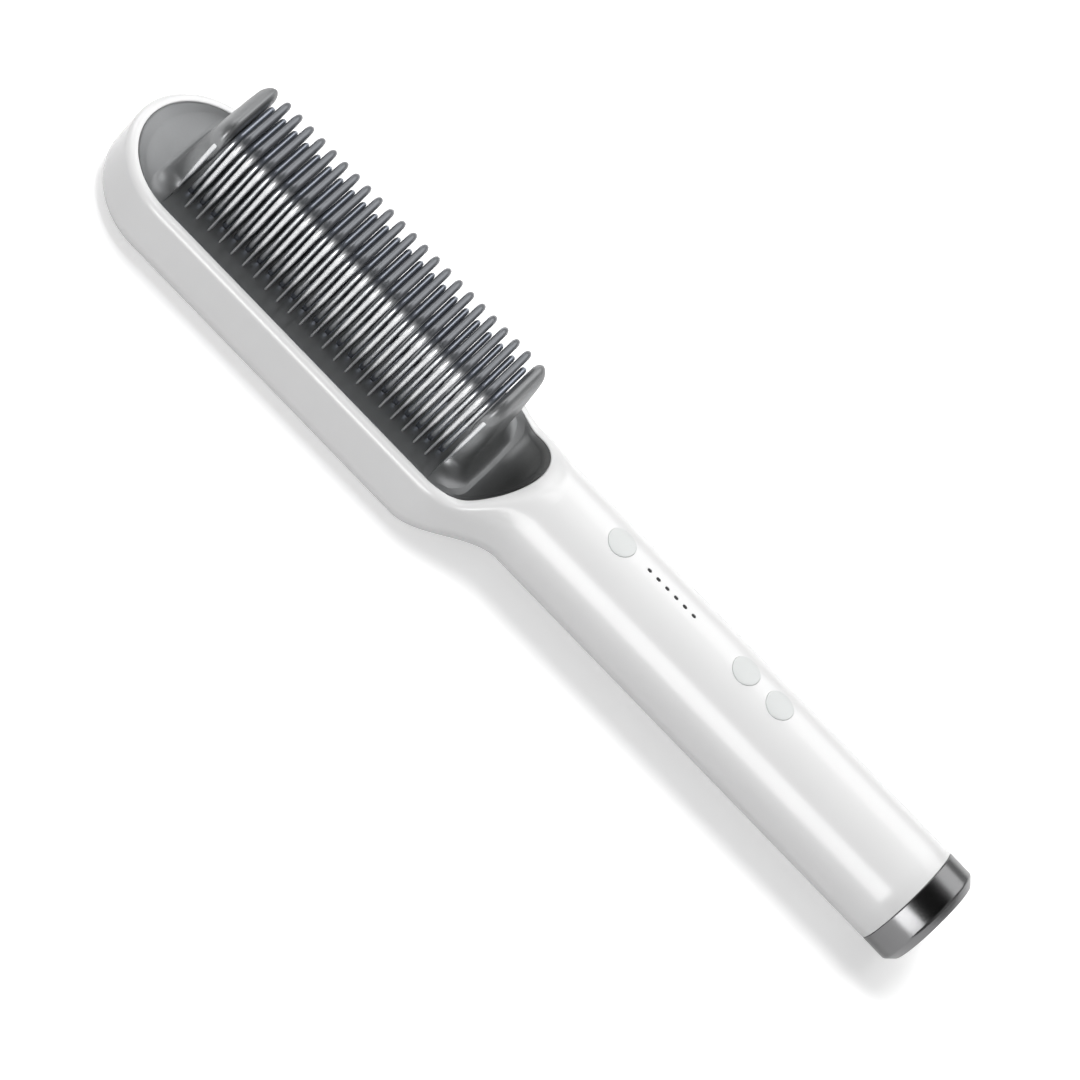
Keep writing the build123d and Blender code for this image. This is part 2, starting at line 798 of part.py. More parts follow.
# Wires from the heater bar and the thermistor to the control board.
neck_start = station(neck_start_at)
neck_end = station(neck_end_at)
board_start = station(board_start_at)
heater_wire_side = heater_width / 2 - heater_wire_inset
heater_wire_start = station(comb_at + heater_length / 2)
heater_wire_level = heater_bottom + heater_thickness / 2
neck_wire_level = heater_wire_level + lead_drift
heater_wire_end = board_bottom - heater_wire_radius - screw_gap
with BuildPart() as heater_leads:
    for side in (-1, 1):
        add(
            lead_form(
                [
                    (heater_wire_start, side * heater_wire_side, heater_wire_level),
                    (heater_wire_start + lead_straight, side * heater_wire_side, heater_wire_level),
                    (neck_start + lead_straight, side * (wire_side + lead_drift), neck_wire_level),
                    (neck_end - lead_rise, side * wire_side, heater_wire_level + lead_rise),
                    (board_start, side * (wire_side - lead_drift), heater_wire_end - lead_rise / 2),
                    (board_start + lead_straight, side * wire_side, heater_wire_end),
                ],
                heater_wire_radius,
            )
        )
heater_leads.part.label = "heater_leads"

sensor_start = station(thermistor_at) + thermistor_length / 2
sensor_end = board_bottom - sensor_wire_radius - screw_gap
with BuildPart() as sensor_leads:
    for side in (-1, 1):
        across = thermistor_side + side * sensor_wire_spread
        add(
            lead_form(
                [
                    (sensor_start, across, thermistor_level),
                    (sensor_start + lead_straight, across, thermistor_level),
                    (neck_start + 2 * lead_straight, across - lead_drift, thermistor_level + lead_drift),
                    (neck_end, across, thermistor_level + lead_rise),
                    (board_start, across - lead_drift, sensor_end - lead_rise / 2),
                    (board_start + lead_straight, across, sensor_end),
                ],
                sensor_wire_radius,
            )
        )
sensor_leads.part.label = "sensor_leads"

# Screws of the back cover: two into the guard's bosses, two into the shell's.
head_screw = screw_form(
    screw_head_gap,
    screw_head_radius,
    screw_head_height,
    screw_radius,
    head_boss_top + screw_bite - screw_head_height - 2 * screw_head_gap,
)
handle_screw = screw_form(
    handle_bottom + screw_head_gap,
    screw_head_radius,
    screw_head_height,
    screw_radius,
    handle_boss_base + screw_bite - handle_bottom - screw_head_height - 2 * screw_head_gap,
)
with BuildPart() as cover_screws:
    with Locations(*[(x, 0) for x in guard_boss_places]):
        add(head_screw)
    with Locations(*[(x, 0) for x in cover_boss_places]):
        add(handle_screw)
cover_screws.part.label = "cover_screws"


def button_form(x):
    """Push button: a crowned cap, a retaining flange below the shell and a stem."""
    with BuildPart() as button:
        with BuildSketch(Plane.XY.offset(stem_bottom)):
            with Locations((x, 0)):
                Circle(button_stem_radius)
        extrude(amount=button_stem_length)
        with BuildSketch(Plane.XY.offset(flange_bottom)):
            with Locations((x, 0)):
                Circle(button_flange_radius)
        extrude(amount=button_flange_thickness)
        with BuildSketch(Plane.XY.offset(flange_top)):
            with Locations((x, 0)):
                Circle(button_radius)
        extrude(amount=handle_radius)
        with BuildSketch(Plane.YZ.offset(x)):
            with Locations((0, axis_height)):
                Circle(handle_radius + button_proud)
        extrude(amount=2 * button_flange_radius, both=True, mode=Mode.INTERSECT)
    return button.part


def plunger_form(x):
    """Plunger of a tact switch, under its button's stem."""
    with BuildPart() as plunger:
        with BuildSketch(Plane.XY.offset(stem_bottom - plunger_length)):
            with Locations((x, 0)):
                Circle(plunger_radius)
        extrude(amount=plunger_length)
    return plunger.part


button_names = ["power", "up", "down"]
buttons = {name: button_form(x) for name, x in zip(button_names, button_places)}
plungers = {name: plunger_form(x) for name, x in zip(button_names, button_places)}

# Tact switches on the control board, one under each button.
with BuildPart() as tact_switches:
    with BuildSketch(Plane.XY.offset(board_top)):
        with Locations(*[(x, 0) for x in button_places]):
            Rectangle(switch_size, switch_size)
    extrude(amount=switch_height)
    with BuildSketch(Plane.XY.offset(stem_bottom - plunger_length - button_travel - plunger_gap)):
        with Locations(*[(x, 0) for x in button_places]):
            Circle(plunger_radius + plunger_gap)
    extrude(amount=switch_height, mode=Mode.SUBTRACT)
tact_switches.part.label = "tact_switches"

# Control board across the handle, screwed up to three bosses.
with BuildPart() as control_board:
    board_length = board_end_at - board_start_at
    with BuildSketch(Plane.XY.offset(board_bottom)):
        with Locations((station((board_start_at + board_end_at) / 2), 0)):
            Rectangle(board_length, 2 * board_half_width)
        with Locations(*[(x, 0) for x in board_boss_places]):
            Circle(small_screw_radius + screw_gap, mode=Mode.SUBTRACT)
    extrude(amount=board_thickness)
control_board.part.label = "control_board"

board_screw = screw_form(
    board_bottom - comb_screw_head_height,
    small_screw_head_radius,
    comb_screw_head_height,
    small_screw_radius,
    board_thickness + board_screw_bite,
)
with BuildPart() as board_screws:
    with Locations(*[(x, 0) for x in board_boss_places]):
        add(board_screw)
board_screws.part.label = "board_screws"

# Six indicator lamps on the board and the clear guide that carries their light.
with BuildPart() as indicator_leds:
    with BuildSketch(Plane.XY.offset(board_top)):
        with Locations((station(dots_at), 0)):
            with GridLocations(dot_pitch, 0, dot_count, 1):
                Rectangle(led_length, led_width)
    extrude(amount=led_height)
indicator_leds.part.label = "indicator_leds"

with BuildPart() as light_guide:
    guide_length = (dot_count - 1) * dot_pitch + dot_length + 2 * guide_margin
    with BuildSketch(Plane.XY.offset(guide_bottom)):
        with Locations((station(dots_at), 0)):
            Rectangle(guide_length, guide_width)
    extrude(amount=guide_thickness)
    with BuildSketch(Plane.XY.offset(guide_top)):
        with Locations((station(dots_at), 0)):
            with GridLocations(dot_pitch, 0, dot_count, 1):
                SlotOverall(dot_length - 2 * dot_gap, dot_width - 2 * dot_gap)
    extrude(amount=guide_roof_gap + handle_wall - dot_sink)
    leg_bottom = board_top + led_height + led_gap
    with BuildSketch(Plane.XY.offset(leg_bottom)):
        with Locations((station(dots_at), 0)):
            with GridLocations(dot_pitch, 0, dot_count, 1):
                Circle(guide_leg_radius)
    extrude(amount=guide_bottom - leg_bottom)
light_guide.part.label = "light_guide"

# Larger electronic parts under the board.
with BuildPart() as power_relay:
    with BuildSketch(Plane.XY.offset(board_bottom - relay_height)):
        with Locations((station(neck_end_at + relay_along), 0)):
            Rectangle(relay_length, relay_width)
    extrude(amount=relay_height)
    chamfer(power_relay.edges().group_by(Axis.Z)[0], relay_chamfer)
power_relay.part.label = "power_relay"

capacitor_level = board_bottom - capacitor_radius - board_part_gap
with BuildPart() as filter_capacitor:
    with BuildSketch(Plane.YZ.offset(station(neck_end_at + capacitor_along))):
        with Locations((0, capacitor_level)):
            Circle(capacitor_radius)
    extrude(amount=capacitor_length)
    fillet(filter_capacitor.edges().filter_by(GeomType.CIRCLE), capacitor_round)
filter_capacitor.part.label = "filter_capacitor"

with BuildPart() as power_coil:
    with BuildSketch(Plane.XY.offset(board_bottom - coil_height)):
        with Locations((station(neck_end_at + coil_along), 0)):
            Rectangle(coil_length, coil_width)
    extrude(amount=coil_flange)
    with BuildSketch(Plane.XY.offset(board_bottom - coil_height)):
        with Locations((station(neck_end_at + coil_along), 0)):
            Circle(coil_width / 2 - coil_waist / 2)
    extrude(amount=coil_height)
    with BuildSketch(Plane.XY.offset(board_bottom - coil_flange)):
        with Locations((station(neck_end_at + coil_along), 0)):
            Rectangle(coil_length, coil_width)
    extrude(amount=coil_flange)
power_coil.part.label = "power_coil"

with BuildPart() as control_chip:
    with BuildSketch(Plane.XY.offset(board_bottom - chip_height)):
        with Locations((station(neck_end_at + chip_along), 0)):
            Rectangle(chip_length, chip_width)
    extrude(amount=chip_height)
control_chip.part.label = "control_chip"

# End ring: a chromed ring with a spigot inside the handle and a chamfered rim.
handle_axis = Axis((0, 0, axis_height), (1, 0, 0))
spigot_radius = bore_radius - spigot_gap
ring_bore = spigot_radius - ring_wall
plate_outer_at = overall_length - end_plate_sink
plate_inner_at = plate_outer_at - end_plate_thickness
with BuildPart() as end_ring:
    with BuildSketch(Plane.XZ):
        with BuildLine():
            Polyline(
                (station(shell_end_at - spigot_length), axis_height + ring_bore),
                (station(shell_end_at - spigot_length), axis_height + spigot_radius),
                (station(shell_end_at), axis_height + spigot_radius),
                (station(shell_end_at), axis_height + handle_radius),
                (station(overall_length - ring_chamfer), axis_height + handle_radius),
                (station(overall_length), axis_height + handle_radius - ring_chamfer),
                (station(overall_length), axis_height + ring_bore),
                (station(plate_inner_at), axis_height + ring_bore),
                (station(plate_inner_at), axis_height + ring_bore - ring_lip_reach),
                (station(plate_inner_at - ring_lip_thickness), axis_height + ring_bore - ring_lip_reach),
                (station(plate_inner_at - ring_lip_thickness), axis_height + ring_bore),
                close=True,
            )
        make_face()
    revolve(axis=handle_axis)
end_ring.part.label = "end_ring"

# End plate, seated on the ring's lip, with the swivel's bearing bore.
gland_head_at = overall_length - end_plate_sink / 2 - gland_head_thickness
plate_radius = ring_bore - end_plate_gap
with BuildPart() as end_plate:
    with BuildSketch(Plane.YZ.offset(station(plate_inner_at))):
        with Locations((0, axis_height)):
            Circle(plate_radius)
            Circle(gland_radius + gland_gap, mode=Mode.SUBTRACT)
    extrude(amount=end_plate_thickness)
    with BuildSketch(Plane.YZ.offset(station(gland_head_at - gland_recess_gap))):
        with Locations((0, axis_height)):
            Circle(gland_head_radius + gland_recess_gap)
    extrude(amount=end_plate_thickness, mode=Mode.SUBTRACT)
end_plate.part.label = "end_plate"

# Swivel gland: a hollow shaft that carries the cord and turns in the end plate.
clip_at = plate_inner_at - clip_gap - clip_thickness
gland_inner_at = plate_inner_at - gland_inner_length
groove_radius = gland_radius - gland_groove_depth
with BuildPart() as swivel_gland:
    with BuildSketch(Plane.YZ.offset(station(gland_inner_at))):
        with Locations((0, axis_height)):
            Circle(gland_radius)
    extrude(amount=gland_head_at - gland_inner_at)
    with BuildSketch(Plane.YZ.offset(station(gland_head_at))):
        with Locations((0, axis_height)):
            Circle(gland_head_radius)
    extrude(amount=gland_head_thickness)
    fillet(swivel_gland.edges().group_by(Axis.X)[-1], gland_head_round)
    with BuildSketch(Plane.YZ.offset(station(clip_at) - screw_gap)):
        with Locations((0, axis_height)):
            Circle(gland_head_radius)
            Circle(groove_radius, mode=Mode.SUBTRACT)
    extrude(amount=clip_thickness + 2 * screw_gap, mode=Mode.SUBTRACT)
    with BuildSketch(Plane.YZ.offset(station(gland_inner_at))):
        with Locations((0, axis_height)):
            Circle(gland_bore_radius)
    extrude(amount=gland_inner_length + end_plate_thickness + end_plate_sink, mode=Mode.SUBTRACT)
swivel_gland.part.label = "swivel_gland"

# Spring clip in the gland's groove, open on one side.
with BuildPart() as gland_clip:
    with BuildSketch(Plane.YZ.offset(station(clip_at))):
        with Locations((0, axis_height)):
            Circle(clip_radius)
            Circle(groove_radius + screw_gap, mode=Mode.SUBTRACT)
        with Locations((0, axis_height - clip_radius)):
            Rectangle(clip_mouth, 2 * clip_radius, mode=Mode.SUBTRACT)
    extrude(amount=clip_thickness)
gland_clip.part.label = "gland_clip"

# Brass slip rings on the gland, and the two pins that press on them.
ring_places = [
    station(gland_inner_at + contact_ring_start + index * contact_ring_pitch) for index in range(2)
]
with BuildPart() as contact_rings:
    for x in ring_places:
        with BuildSketch(Plane.YZ.offset(x)):
            with Locations((0, axis_height)):
                Circle(contact_ring_radius)
                Circle(gland_radius + contact_ring_seat, mode=Mode.SUBTRACT)
        extrude(amount=contact_ring_width)
contact_rings.part.label = "contact_rings"

pin_bottom = axis_height + contact_ring_radius + contact_gap
with BuildPart() as contact_pins:
    with BuildSketch(Plane.XY.offset(pin_bottom)):
        with Locations(*[(x + contact_ring_width / 2, 0) for x in ring_places]):
            Circle(contact_pin_radius)
    extrude(amount=contact_pin_length)
contact_pins.part.label = "contact_pins"

# Contact block: a half ring in the end ring's bore that holds the pins.
block_end = station(plate_inner_at - ring_lip_thickness) - screw_gap
block_start = block_end - contact_block_length
with BuildPart() as contact_block:
    with BuildSketch(Plane.YZ.offset(block_start)):
        with Locations((0, axis_height)):
            Circle(ring_bore - end_plate_gap)
            Circle(contact_ring_radius + contact_block_clear, mode=Mode.SUBTRACT)
        with Locations((0, axis_height - handle_radius / 2)):
            Rectangle(2 * handle_radius, handle_radius, mode=Mode.SUBTRACT)
    extrude(amount=contact_block_length)
    with BuildSketch(Plane.XY.offset(pin_bottom)):
        with Locations(*[(x + contact_ring_width / 2, 0) for x in ring_places]):
            Circle(contact_pin_radius + screw_gap)
    extrude(amount=contact_pin_length, mode=Mode.SUBTRACT)
contact_block.part.label = "contact_block"

# Two wires from the contact block to the control board.
power_wire_end = board_top + wire_radius + screw_gap
contact_wire_level = axis_height + contact_wire_rise
passing_level = contact_wire_level - contact_wire_dip
board_end = station(board_end_at)
boss_passing = station(rear_boss_at)
with BuildPart() as power_leads:
    for side in (-1, 1):
        add(
            lead_form(
                [
                    (block_start, side * contact_wire_spread, contact_wire_level),
                    (block_start - lead_straight, side * contact_wire_spread, contact_wire_level),
                    (boss_passing, side * (contact_wire_spread + lead_drift), passing_level),
                    (board_end, side * (contact_wire_spread + lead_drift / 2), power_wire_end + lead_drift),
                    (board_end - lead_straight / 2, side * contact_wire_spread, power_wire_end),
                ],
                wire_radius,
            )
        )
power_leads.part.label = "power_leads"

solids = [
    front_shell,
    back_cover,
    comb_guard,
    heating_comb,
    gasket,
    heater_bar,
    insulation_film,
    heater_clamp,
    clamp_screws,
    comb_screws,
    thermal_fuse,
    thermistor,
    heat_shield,
    heater_leads,
    sensor_leads,
    cover_screws,
    tact_switches,
    control_board,
    board_screws,
    indicator_leds,
    light_guide,
    power_relay,
    filter_capacitor,
    power_coil,
    control_chip,
    end_ring,
    end_plate,
    swivel_gland,
    gland_clip,
    contact_rings,
    contact_pins,
    contact_block,
    power_leads,
]
for piece in solids:
    export_step(piece.part, f"parts/{piece.part.label}.step")
for name in button_names:
    buttons[name].label = f"{name}_button"
    plungers[name].label = f"{name}_plunger"
    export_step(buttons[name], f"parts/{name}_button.step")
    export_step(plungers[name], f"parts/{name}_plunger.step")
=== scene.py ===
import bpy
import bmesh
import json
import math
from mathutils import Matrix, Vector
from mathutils.bvhtree import BVHTree


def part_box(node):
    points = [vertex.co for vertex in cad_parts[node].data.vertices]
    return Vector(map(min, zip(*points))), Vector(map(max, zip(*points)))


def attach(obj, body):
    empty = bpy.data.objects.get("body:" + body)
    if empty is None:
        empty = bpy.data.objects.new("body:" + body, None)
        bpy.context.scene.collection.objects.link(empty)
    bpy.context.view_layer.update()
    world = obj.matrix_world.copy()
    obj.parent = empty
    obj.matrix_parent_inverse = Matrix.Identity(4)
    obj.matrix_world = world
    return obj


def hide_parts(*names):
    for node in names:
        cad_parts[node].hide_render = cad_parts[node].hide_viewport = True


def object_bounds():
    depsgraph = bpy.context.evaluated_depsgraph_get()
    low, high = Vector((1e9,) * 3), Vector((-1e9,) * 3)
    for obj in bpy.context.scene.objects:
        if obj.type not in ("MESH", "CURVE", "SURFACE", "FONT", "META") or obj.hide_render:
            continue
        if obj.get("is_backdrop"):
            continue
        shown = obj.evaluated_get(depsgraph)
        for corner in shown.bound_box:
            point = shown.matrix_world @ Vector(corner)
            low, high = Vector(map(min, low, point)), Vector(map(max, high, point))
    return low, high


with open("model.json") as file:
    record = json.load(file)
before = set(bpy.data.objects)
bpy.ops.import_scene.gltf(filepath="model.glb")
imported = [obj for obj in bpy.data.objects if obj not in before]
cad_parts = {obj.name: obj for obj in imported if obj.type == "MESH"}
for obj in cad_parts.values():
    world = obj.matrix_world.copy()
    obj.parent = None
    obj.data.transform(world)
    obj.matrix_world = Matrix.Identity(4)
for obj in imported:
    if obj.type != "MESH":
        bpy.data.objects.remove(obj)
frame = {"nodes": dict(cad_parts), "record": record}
cad_low, cad_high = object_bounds()

# White body, front part. The real piece is one glossy ABS moulding: the head's tub with
# its narrow rounded rim, the neck that flows from it, and the round handle with the holes
# for the buttons and the indicator windows. Its lower edge meets the back cover.
mm = 0.001
head_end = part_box("front_shell")[0].x
handle_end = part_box("front_shell")[1].x
axis_height = 18.0 * mm
handle_radius = 14.8 * mm
head_half_width = 21.9 * mm
rim_height = axis_height + 1.5 * mm
rim_width = 2.8 * mm
rim_round = 1.9 * mm
back_round = 7.0 * mm
wall = 2.0 * mm
opening_radius = head_half_width - rim_width
head_centre = head_end + head_half_width
neck_start = head_end + 111.7 * mm
neck_end = head_end + 138.0 * mm
slope_foot = neck_start + 10.6 * mm
slope_rise = math.tan(math.radians(49.5))
slope_round = 1.8 * mm
neck_tuck = 0.15 * mm
neck_corner = handle_radius - 0.35 * mm
head_parting = 2.2 * mm
handle_parting = 7.4 * mm
parting_gap = 0.04 * mm
parting_round = 0.3 * mm
lip = 0.45 * mm
ledge_height = 16.0 * mm
least_round = 0.3 * mm
least_blend = 0.2 * mm
neck_blend = 3.0 * mm
outline_step = 0.25 * mm
bend_weight = 1.6 * mm
turn_steps = 24
same_place = 1e-7
head_sections, side_sections, arch_sections, neck_sections, handle_sections = 30, 14, 36, 10, 24
skin_rows, inner_rows, roof_rows, lip_rows, wall_rows = 60, 14, 18, 5, 4
end_shrink = 0.6 * parting_round
past_middle = 5 * mm
inner_top = 14.5 * mm
roof_start = head_end + 133.5 * mm


def rise(value, low, high):
    """Smooth step from 0 at the low value to 1 at the high one."""
    share = min(max((value - low) / (high - low), 0.0), 1.0)
    return share * share * (3 - 2 * share)


def mix(a, b, share):
    """Value between two others: the first at 0, the second at 1."""
    return a + (b - a) * share


def slope_height(x):
    """Height of the rim and of the slope that rises from it to the handle."""
    past = x - slope_foot
    return rim_height + slope_rise * (past + math.sqrt(past * past + slope_round * slope_round)) / 2


def soft_min(a, b, blend):
    """The lower of two heights, with a rounded corner where they meet."""
    gap = max(blend - abs(a - b), 0.0)
    return min(a, b) - gap * gap / (4 * blend)


def body_outline(x, inset):
    """Half of the body's section at x as points (across, height), from the top's middle down."""
    share = rise(x, neck_start, neck_end)
    half = mix(head_half_width, handle_radius - neck_tuck, share) - inset
    top = mix(rim_height, axis_height + handle_radius - neck_tuck, share) - inset
    bottom = mix(0, axis_height - handle_radius + neck_tuck, share) + inset
    top_round = mix(rim_round, neck_corner, share) - inset
    bottom_round = mix(back_round, neck_corner, share) - inset
    if share >= 1:
        half = top_round = bottom_round = handle_radius - inset
        top = axis_height + half
        bottom = axis_height - half
    top_round = max(top_round, least_round)
    blend = mix(least_blend, neck_blend, min(share * 6, 1)) if share < 1 else least_blend
    limit = slope_height(x) - inset
    points = [(0.0, top)]
    upper = (top - top_round, top_round, math.pi / 2)
    lower = (bottom + bottom_round, bottom_round, 0.0)
    for centre, radius, first in (upper, lower):
        for turn in range(turn_steps + 1):
            angle = first - math.pi / 2 * turn / turn_steps
            points.append((half - radius + radius * math.cos(angle), centre + radius * math.sin(angle)))
    points.append((0.0, bottom))
    dense = []
    for (w0, z0), (w1, z1) in zip(points, points[1:]):
        steps = max(1, int(math.hypot(w1 - w0, z1 - z0) / outline_step))
        dense += [(mix(w0, w1, k / steps), mix(z0, z1, k / steps)) for k in range(steps)]
    dense.append(points[-1])
    if share > 0.0:
        dense = [(w, soft_min(z, limit, blend) if z > axis_height - 2 * mm else z) for w, z in dense]
    return dense


def trace(dense, start, stop, count):
    """Evenly spread points of a section between two places on it, closer together at bends."""
    measure = [0.0]
    for k in range(1, len(dense)):
        (w0, z0), (w1, z1) = dense[k - 1], dense[k]
        turn = 0.0
        if k + 1 < len(dense):
            w2, z2 = dense[k + 1]
            a, b = Vector((w1 - w0, z1 - z0)), Vector((w2 - w1, z2 - z1))
            if a.length > 1e-9 and b.length > 1e-9:
                turn = a.angle(b)
        measure.append(measure[-1] + math.hypot(w1 - w0, z1 - z0) + bend_weight * turn)

    def place(test):
        """How far along the section a test first holds."""
        for k in range(1, len(dense)):
            if test(*dense[k]):
                (w0, z0), (w1, z1) = dense[k - 1], dense[k]
                low, high = 0.0, 1.0
                for _ in range(24):
                    middle = (low + high) / 2
                    if test(mix(w0, w1, middle), mix(z0, z1, middle)):
                        high = middle
                    else:
                        low = middle
                return mix(measure[k - 1], measure[k], high)
        return measure[-1]

    first, last = place(start), place(stop)
    result = []
    for step in range(count + 1):
        target = mix(first, last, step / count)
        k = next((k for k in range(1, len(dense)) if measure[k] >= target), len(dense) - 1)
        span = measure[k] - measure[k - 1]
        share = (target - measure[k - 1]) / span if span > 0 else 0.0
        (w0, z0), (w1, z1) = dense[k - 1], dense[k]
        result.append((mix(w0, w1, share), mix(z0, z1, share)))
    return result


def parting_height(x):
    """Height of the seam between the front shell and the back cover."""
    share = min(max((x - neck_start) / (neck_end - neck_start), 0.0), 1.0)
    return mix(head_parting, handle_parting, share)


def surface_height(x, across):
    """Height of the body's front surface at a place."""
    dense = body_outline(x, 0.0)
    for (w0, z0), (w1, z1) in zip(dense, dense[1:]):
        if w1 >= across:
            return mix(z0, z1, (across - w0) / (w1 - w0)) if w1 > w0 else z1
    return dense[0][1]


def white_rings():
    """Sections of the body from head to handle: kind, turn about the head's centre, x, opening's edge."""
    edge = opening_radius + lip
    for step in range(head_sections):
        yield "open", math.pi / 2 * step / head_sections, head_centre, edge
    for step in range(side_sections):
        yield "open", math.pi / 2, mix(head_centre, neck_start, step / side_sections), edge
    for step in range(arch_sections + 1):
        angle = math.pi / 2 * step / arch_sections
        yield "open", math.pi / 2, neck_start + edge * math.sin(angle), edge * math.cos(angle)
    tip = neck_start + edge
    for step in range(1, neck_sections + 1):
        yield "closed", math.pi / 2, mix(tip, neck_end, step / neck_sections), 0.0
    last = handle_end - parting_round
    for step in range(1, handle_sections + 1):
        yield "closed", math.pi / 2, mix(neck_end, last, step / handle_sections), 0.0
    yield "end", math.pi / 2, handle_end, 0.0


def turned(turn, x, across, height, side):
    """A section's point in place: round the head's centre, or straight across."""
    if turn < math.pi / 2:
        return (x - across * math.cos(turn), side * across * math.sin(turn), height)
    return (x, side * across, height)


def add_face(mesh, corners):
    """Face through some corners, without those that lie on each other."""
    places = []
    for v in corners:
        if not any((v.co - u.co).length < same_place for u in places):
            places.append(v)
    if len(places) > 2:
        mesh.faces.new(places)


def white_front():
    """The front shell as one closed mesh: skin, lip of the opening, its wall, and the inside."""
    mesh = bmesh.new()
    rings = []
    for kind, turn, x, start in white_rings():
        skin = body_outline(x, end_shrink if kind == "end" else 0.0)
        parting = parting_height(x) + parting_gap
        begin = lambda w, z: w >= start
        round_edge = lambda w, z: z <= parting + parting_round and w > past_middle
        low_edge = lambda w, z: z <= parting and w > past_middle
        rows = trace(skin, begin, round_edge, skin_rows)
        edge = trace(skin, begin, low_edge, 1)[-1]
        rows.append((edge[0] - parting_round, edge[1]))
        inner_x = max(x, roof_start) if kind != "open" else min(x, roof_start)
        hollow = body_outline(min(inner_x, handle_end), wall)
        low = lambda w, z: z <= inner_top and w > past_middle
        inside = trace(hollow, low, low_edge, inner_rows)
        roof = trace(hollow, lambda w, z: True, low, roof_rows) if kind != "open" else []
        lips = []
        if kind == "open":
            corner_x = x
            corner_w = opening_radius
            if turn >= math.pi / 2 and x > neck_start:
                angle = math.acos(min(start / (opening_radius + lip), 1.0))
                corner_x = neck_start + opening_radius * math.sin(angle)
                corner_w = opening_radius * math.cos(angle)
            top = surface_height(corner_x, corner_w)
            outer = Vector(turned(turn, x, rows[0][0], rows[0][1], 1))
            corner = Vector(turned(turn, corner_x, corner_w, top, 1))
            foot = corner - Vector((0, 0, lip))
            for step in range(1, lip_rows + 1):
                t = step / lip_rows
                lips.append(outer * (1 - t) ** 2 + corner * (2 * t * (1 - t)) + foot * t ** 2)
            for step in range(1, wall_rows + 1):
                lips.append(Vector((foot.x, foot.y, mix(foot.z, ledge_height, step / wall_rows))))
        rings.append((kind, turn, x, inner_x, rows, inside, roof, lips))
    for side in (1, -1):
        grid = []
        for kind, turn, x, inner_x, rows, inside, roof, lips in rings:
            column = {
                "skin": [mesh.verts.new(turned(turn, x, w, z, side)) for w, z in rows],
                "inside": [mesh.verts.new(turned(turn, inner_x, w, z, side)) for w, z in inside],
                "roof": [mesh.verts.new(turned(turn, inner_x, w, z, side)) for w, z in roof],
                "lips": [mesh.verts.new((p.x, side * p.y, p.z)) for p in lips],
            }
            grid.append(column)

        def band(here, there):
            """Faces between two lines of points."""
            for k in range(len(here) - 1):
                add_face(mesh, (here[k], there[k], there[k + 1], here[k + 1]))

        for here, there in zip(grid, grid[1:]):
            for part in ("skin", "inside", "roof", "lips"):
                if here[part] and there[part]:
                    band(here[part], there[part])
            band((here["skin"][-1], here["inside"][-1]), (there["skin"][-1], there["inside"][-1]))
            if here["lips"] and there["lips"]:
                band((here["skin"][0], here["lips"][0]), (there["skin"][0], there["lips"][0]))
                band((here["lips"][-1], here["inside"][0]), (there["lips"][-1], there["inside"][0]))
            elif here["lips"]:
                tip = here["lips"][-1]
                add_face(mesh, (tip, here["inside"][0], there["inside"][0]))
                for a, b in zip(there["roof"], there["roof"][1:]):
                    add_face(mesh, (tip, a, b))
        skin, inner = grid[-1]["skin"], grid[-1]["roof"] + grid[-1]["inside"][1:]
        pace = (len(inner) - 1) / (len(skin) - 1)
        for k in range(len(skin) - 1):
            add_face(mesh, (skin[k], skin[k + 1], inner[round((k + 1) * pace)], inner[round(k * pace)]))
    bmesh.ops.remove_doubles(mesh, verts=mesh.verts, dist=1e-6)
    bmesh.ops.recalc_face_normals(mesh, faces=mesh.faces)
    return mesh


def make_piece(name, mesh, sharp=40):
    """Object from a bmesh, smooth except at edges sharper than the given angle."""
    data = bpy.data.meshes.new(name)
    mesh.to_mesh(data)
    mesh.free()
    data.shade_smooth()
    data.set_sharp_from_angle(angle=math.radians(sharp))
    body = bpy.data.objects.new(name, data)
    bpy.context.scene.collection.objects.link(body)
    return body


front_body = make_piece("white_front_body", white_front(), 42)

# Holes in the front shell for the three buttons and the six indicator windows.
hole_radius = 4.0 * mm
hole_sides = 72
slot_half_length = 0.68 * mm
slot_half_width = 0.5 * mm
slot_sides = 24
button_names = ("power_button", "up_button", "down_button")
window_low, window_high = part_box("light_guide")
window_row = (window_low.x + window_high.x) / 2
window_pitch = 3.05 * mm
window_places = [window_row + window_pitch * (k - 2.5) for k in range(6)]


def add_prism(mesh, outline, low, high):
    """Upright prism from an outline of (x, y)."""
    base = [mesh.verts.new((x, y, low)) for x, y in outline]
    top = [mesh.verts.new((x, y, high)) for x, y in outline]
    mesh.faces.new(list(reversed(base)))
    mesh.faces.new(top)
    for k in range(len(outline)):
        n = (k + 1) % len(outline)
        mesh.faces.new((base[k], base[n], top[n], top[k]))


def cut_out(body, cutter):
    """Cuts the cutter out of a piece and keeps the result as the piece's own mesh."""
    tool = make_piece("cutter", cutter, 0)
    holes = body.modifiers.new("holes", "BOOLEAN")
    holes.operation = "DIFFERENCE"
    holes.solver = "EXACT"
    holes.object = tool
    graph = bpy.context.evaluated_depsgraph_get()
    done = bpy.data.meshes.new_from_object(body.evaluated_get(graph))
    body.modifiers.clear()
    body.data = done
    bpy.data.objects.remove(tool)


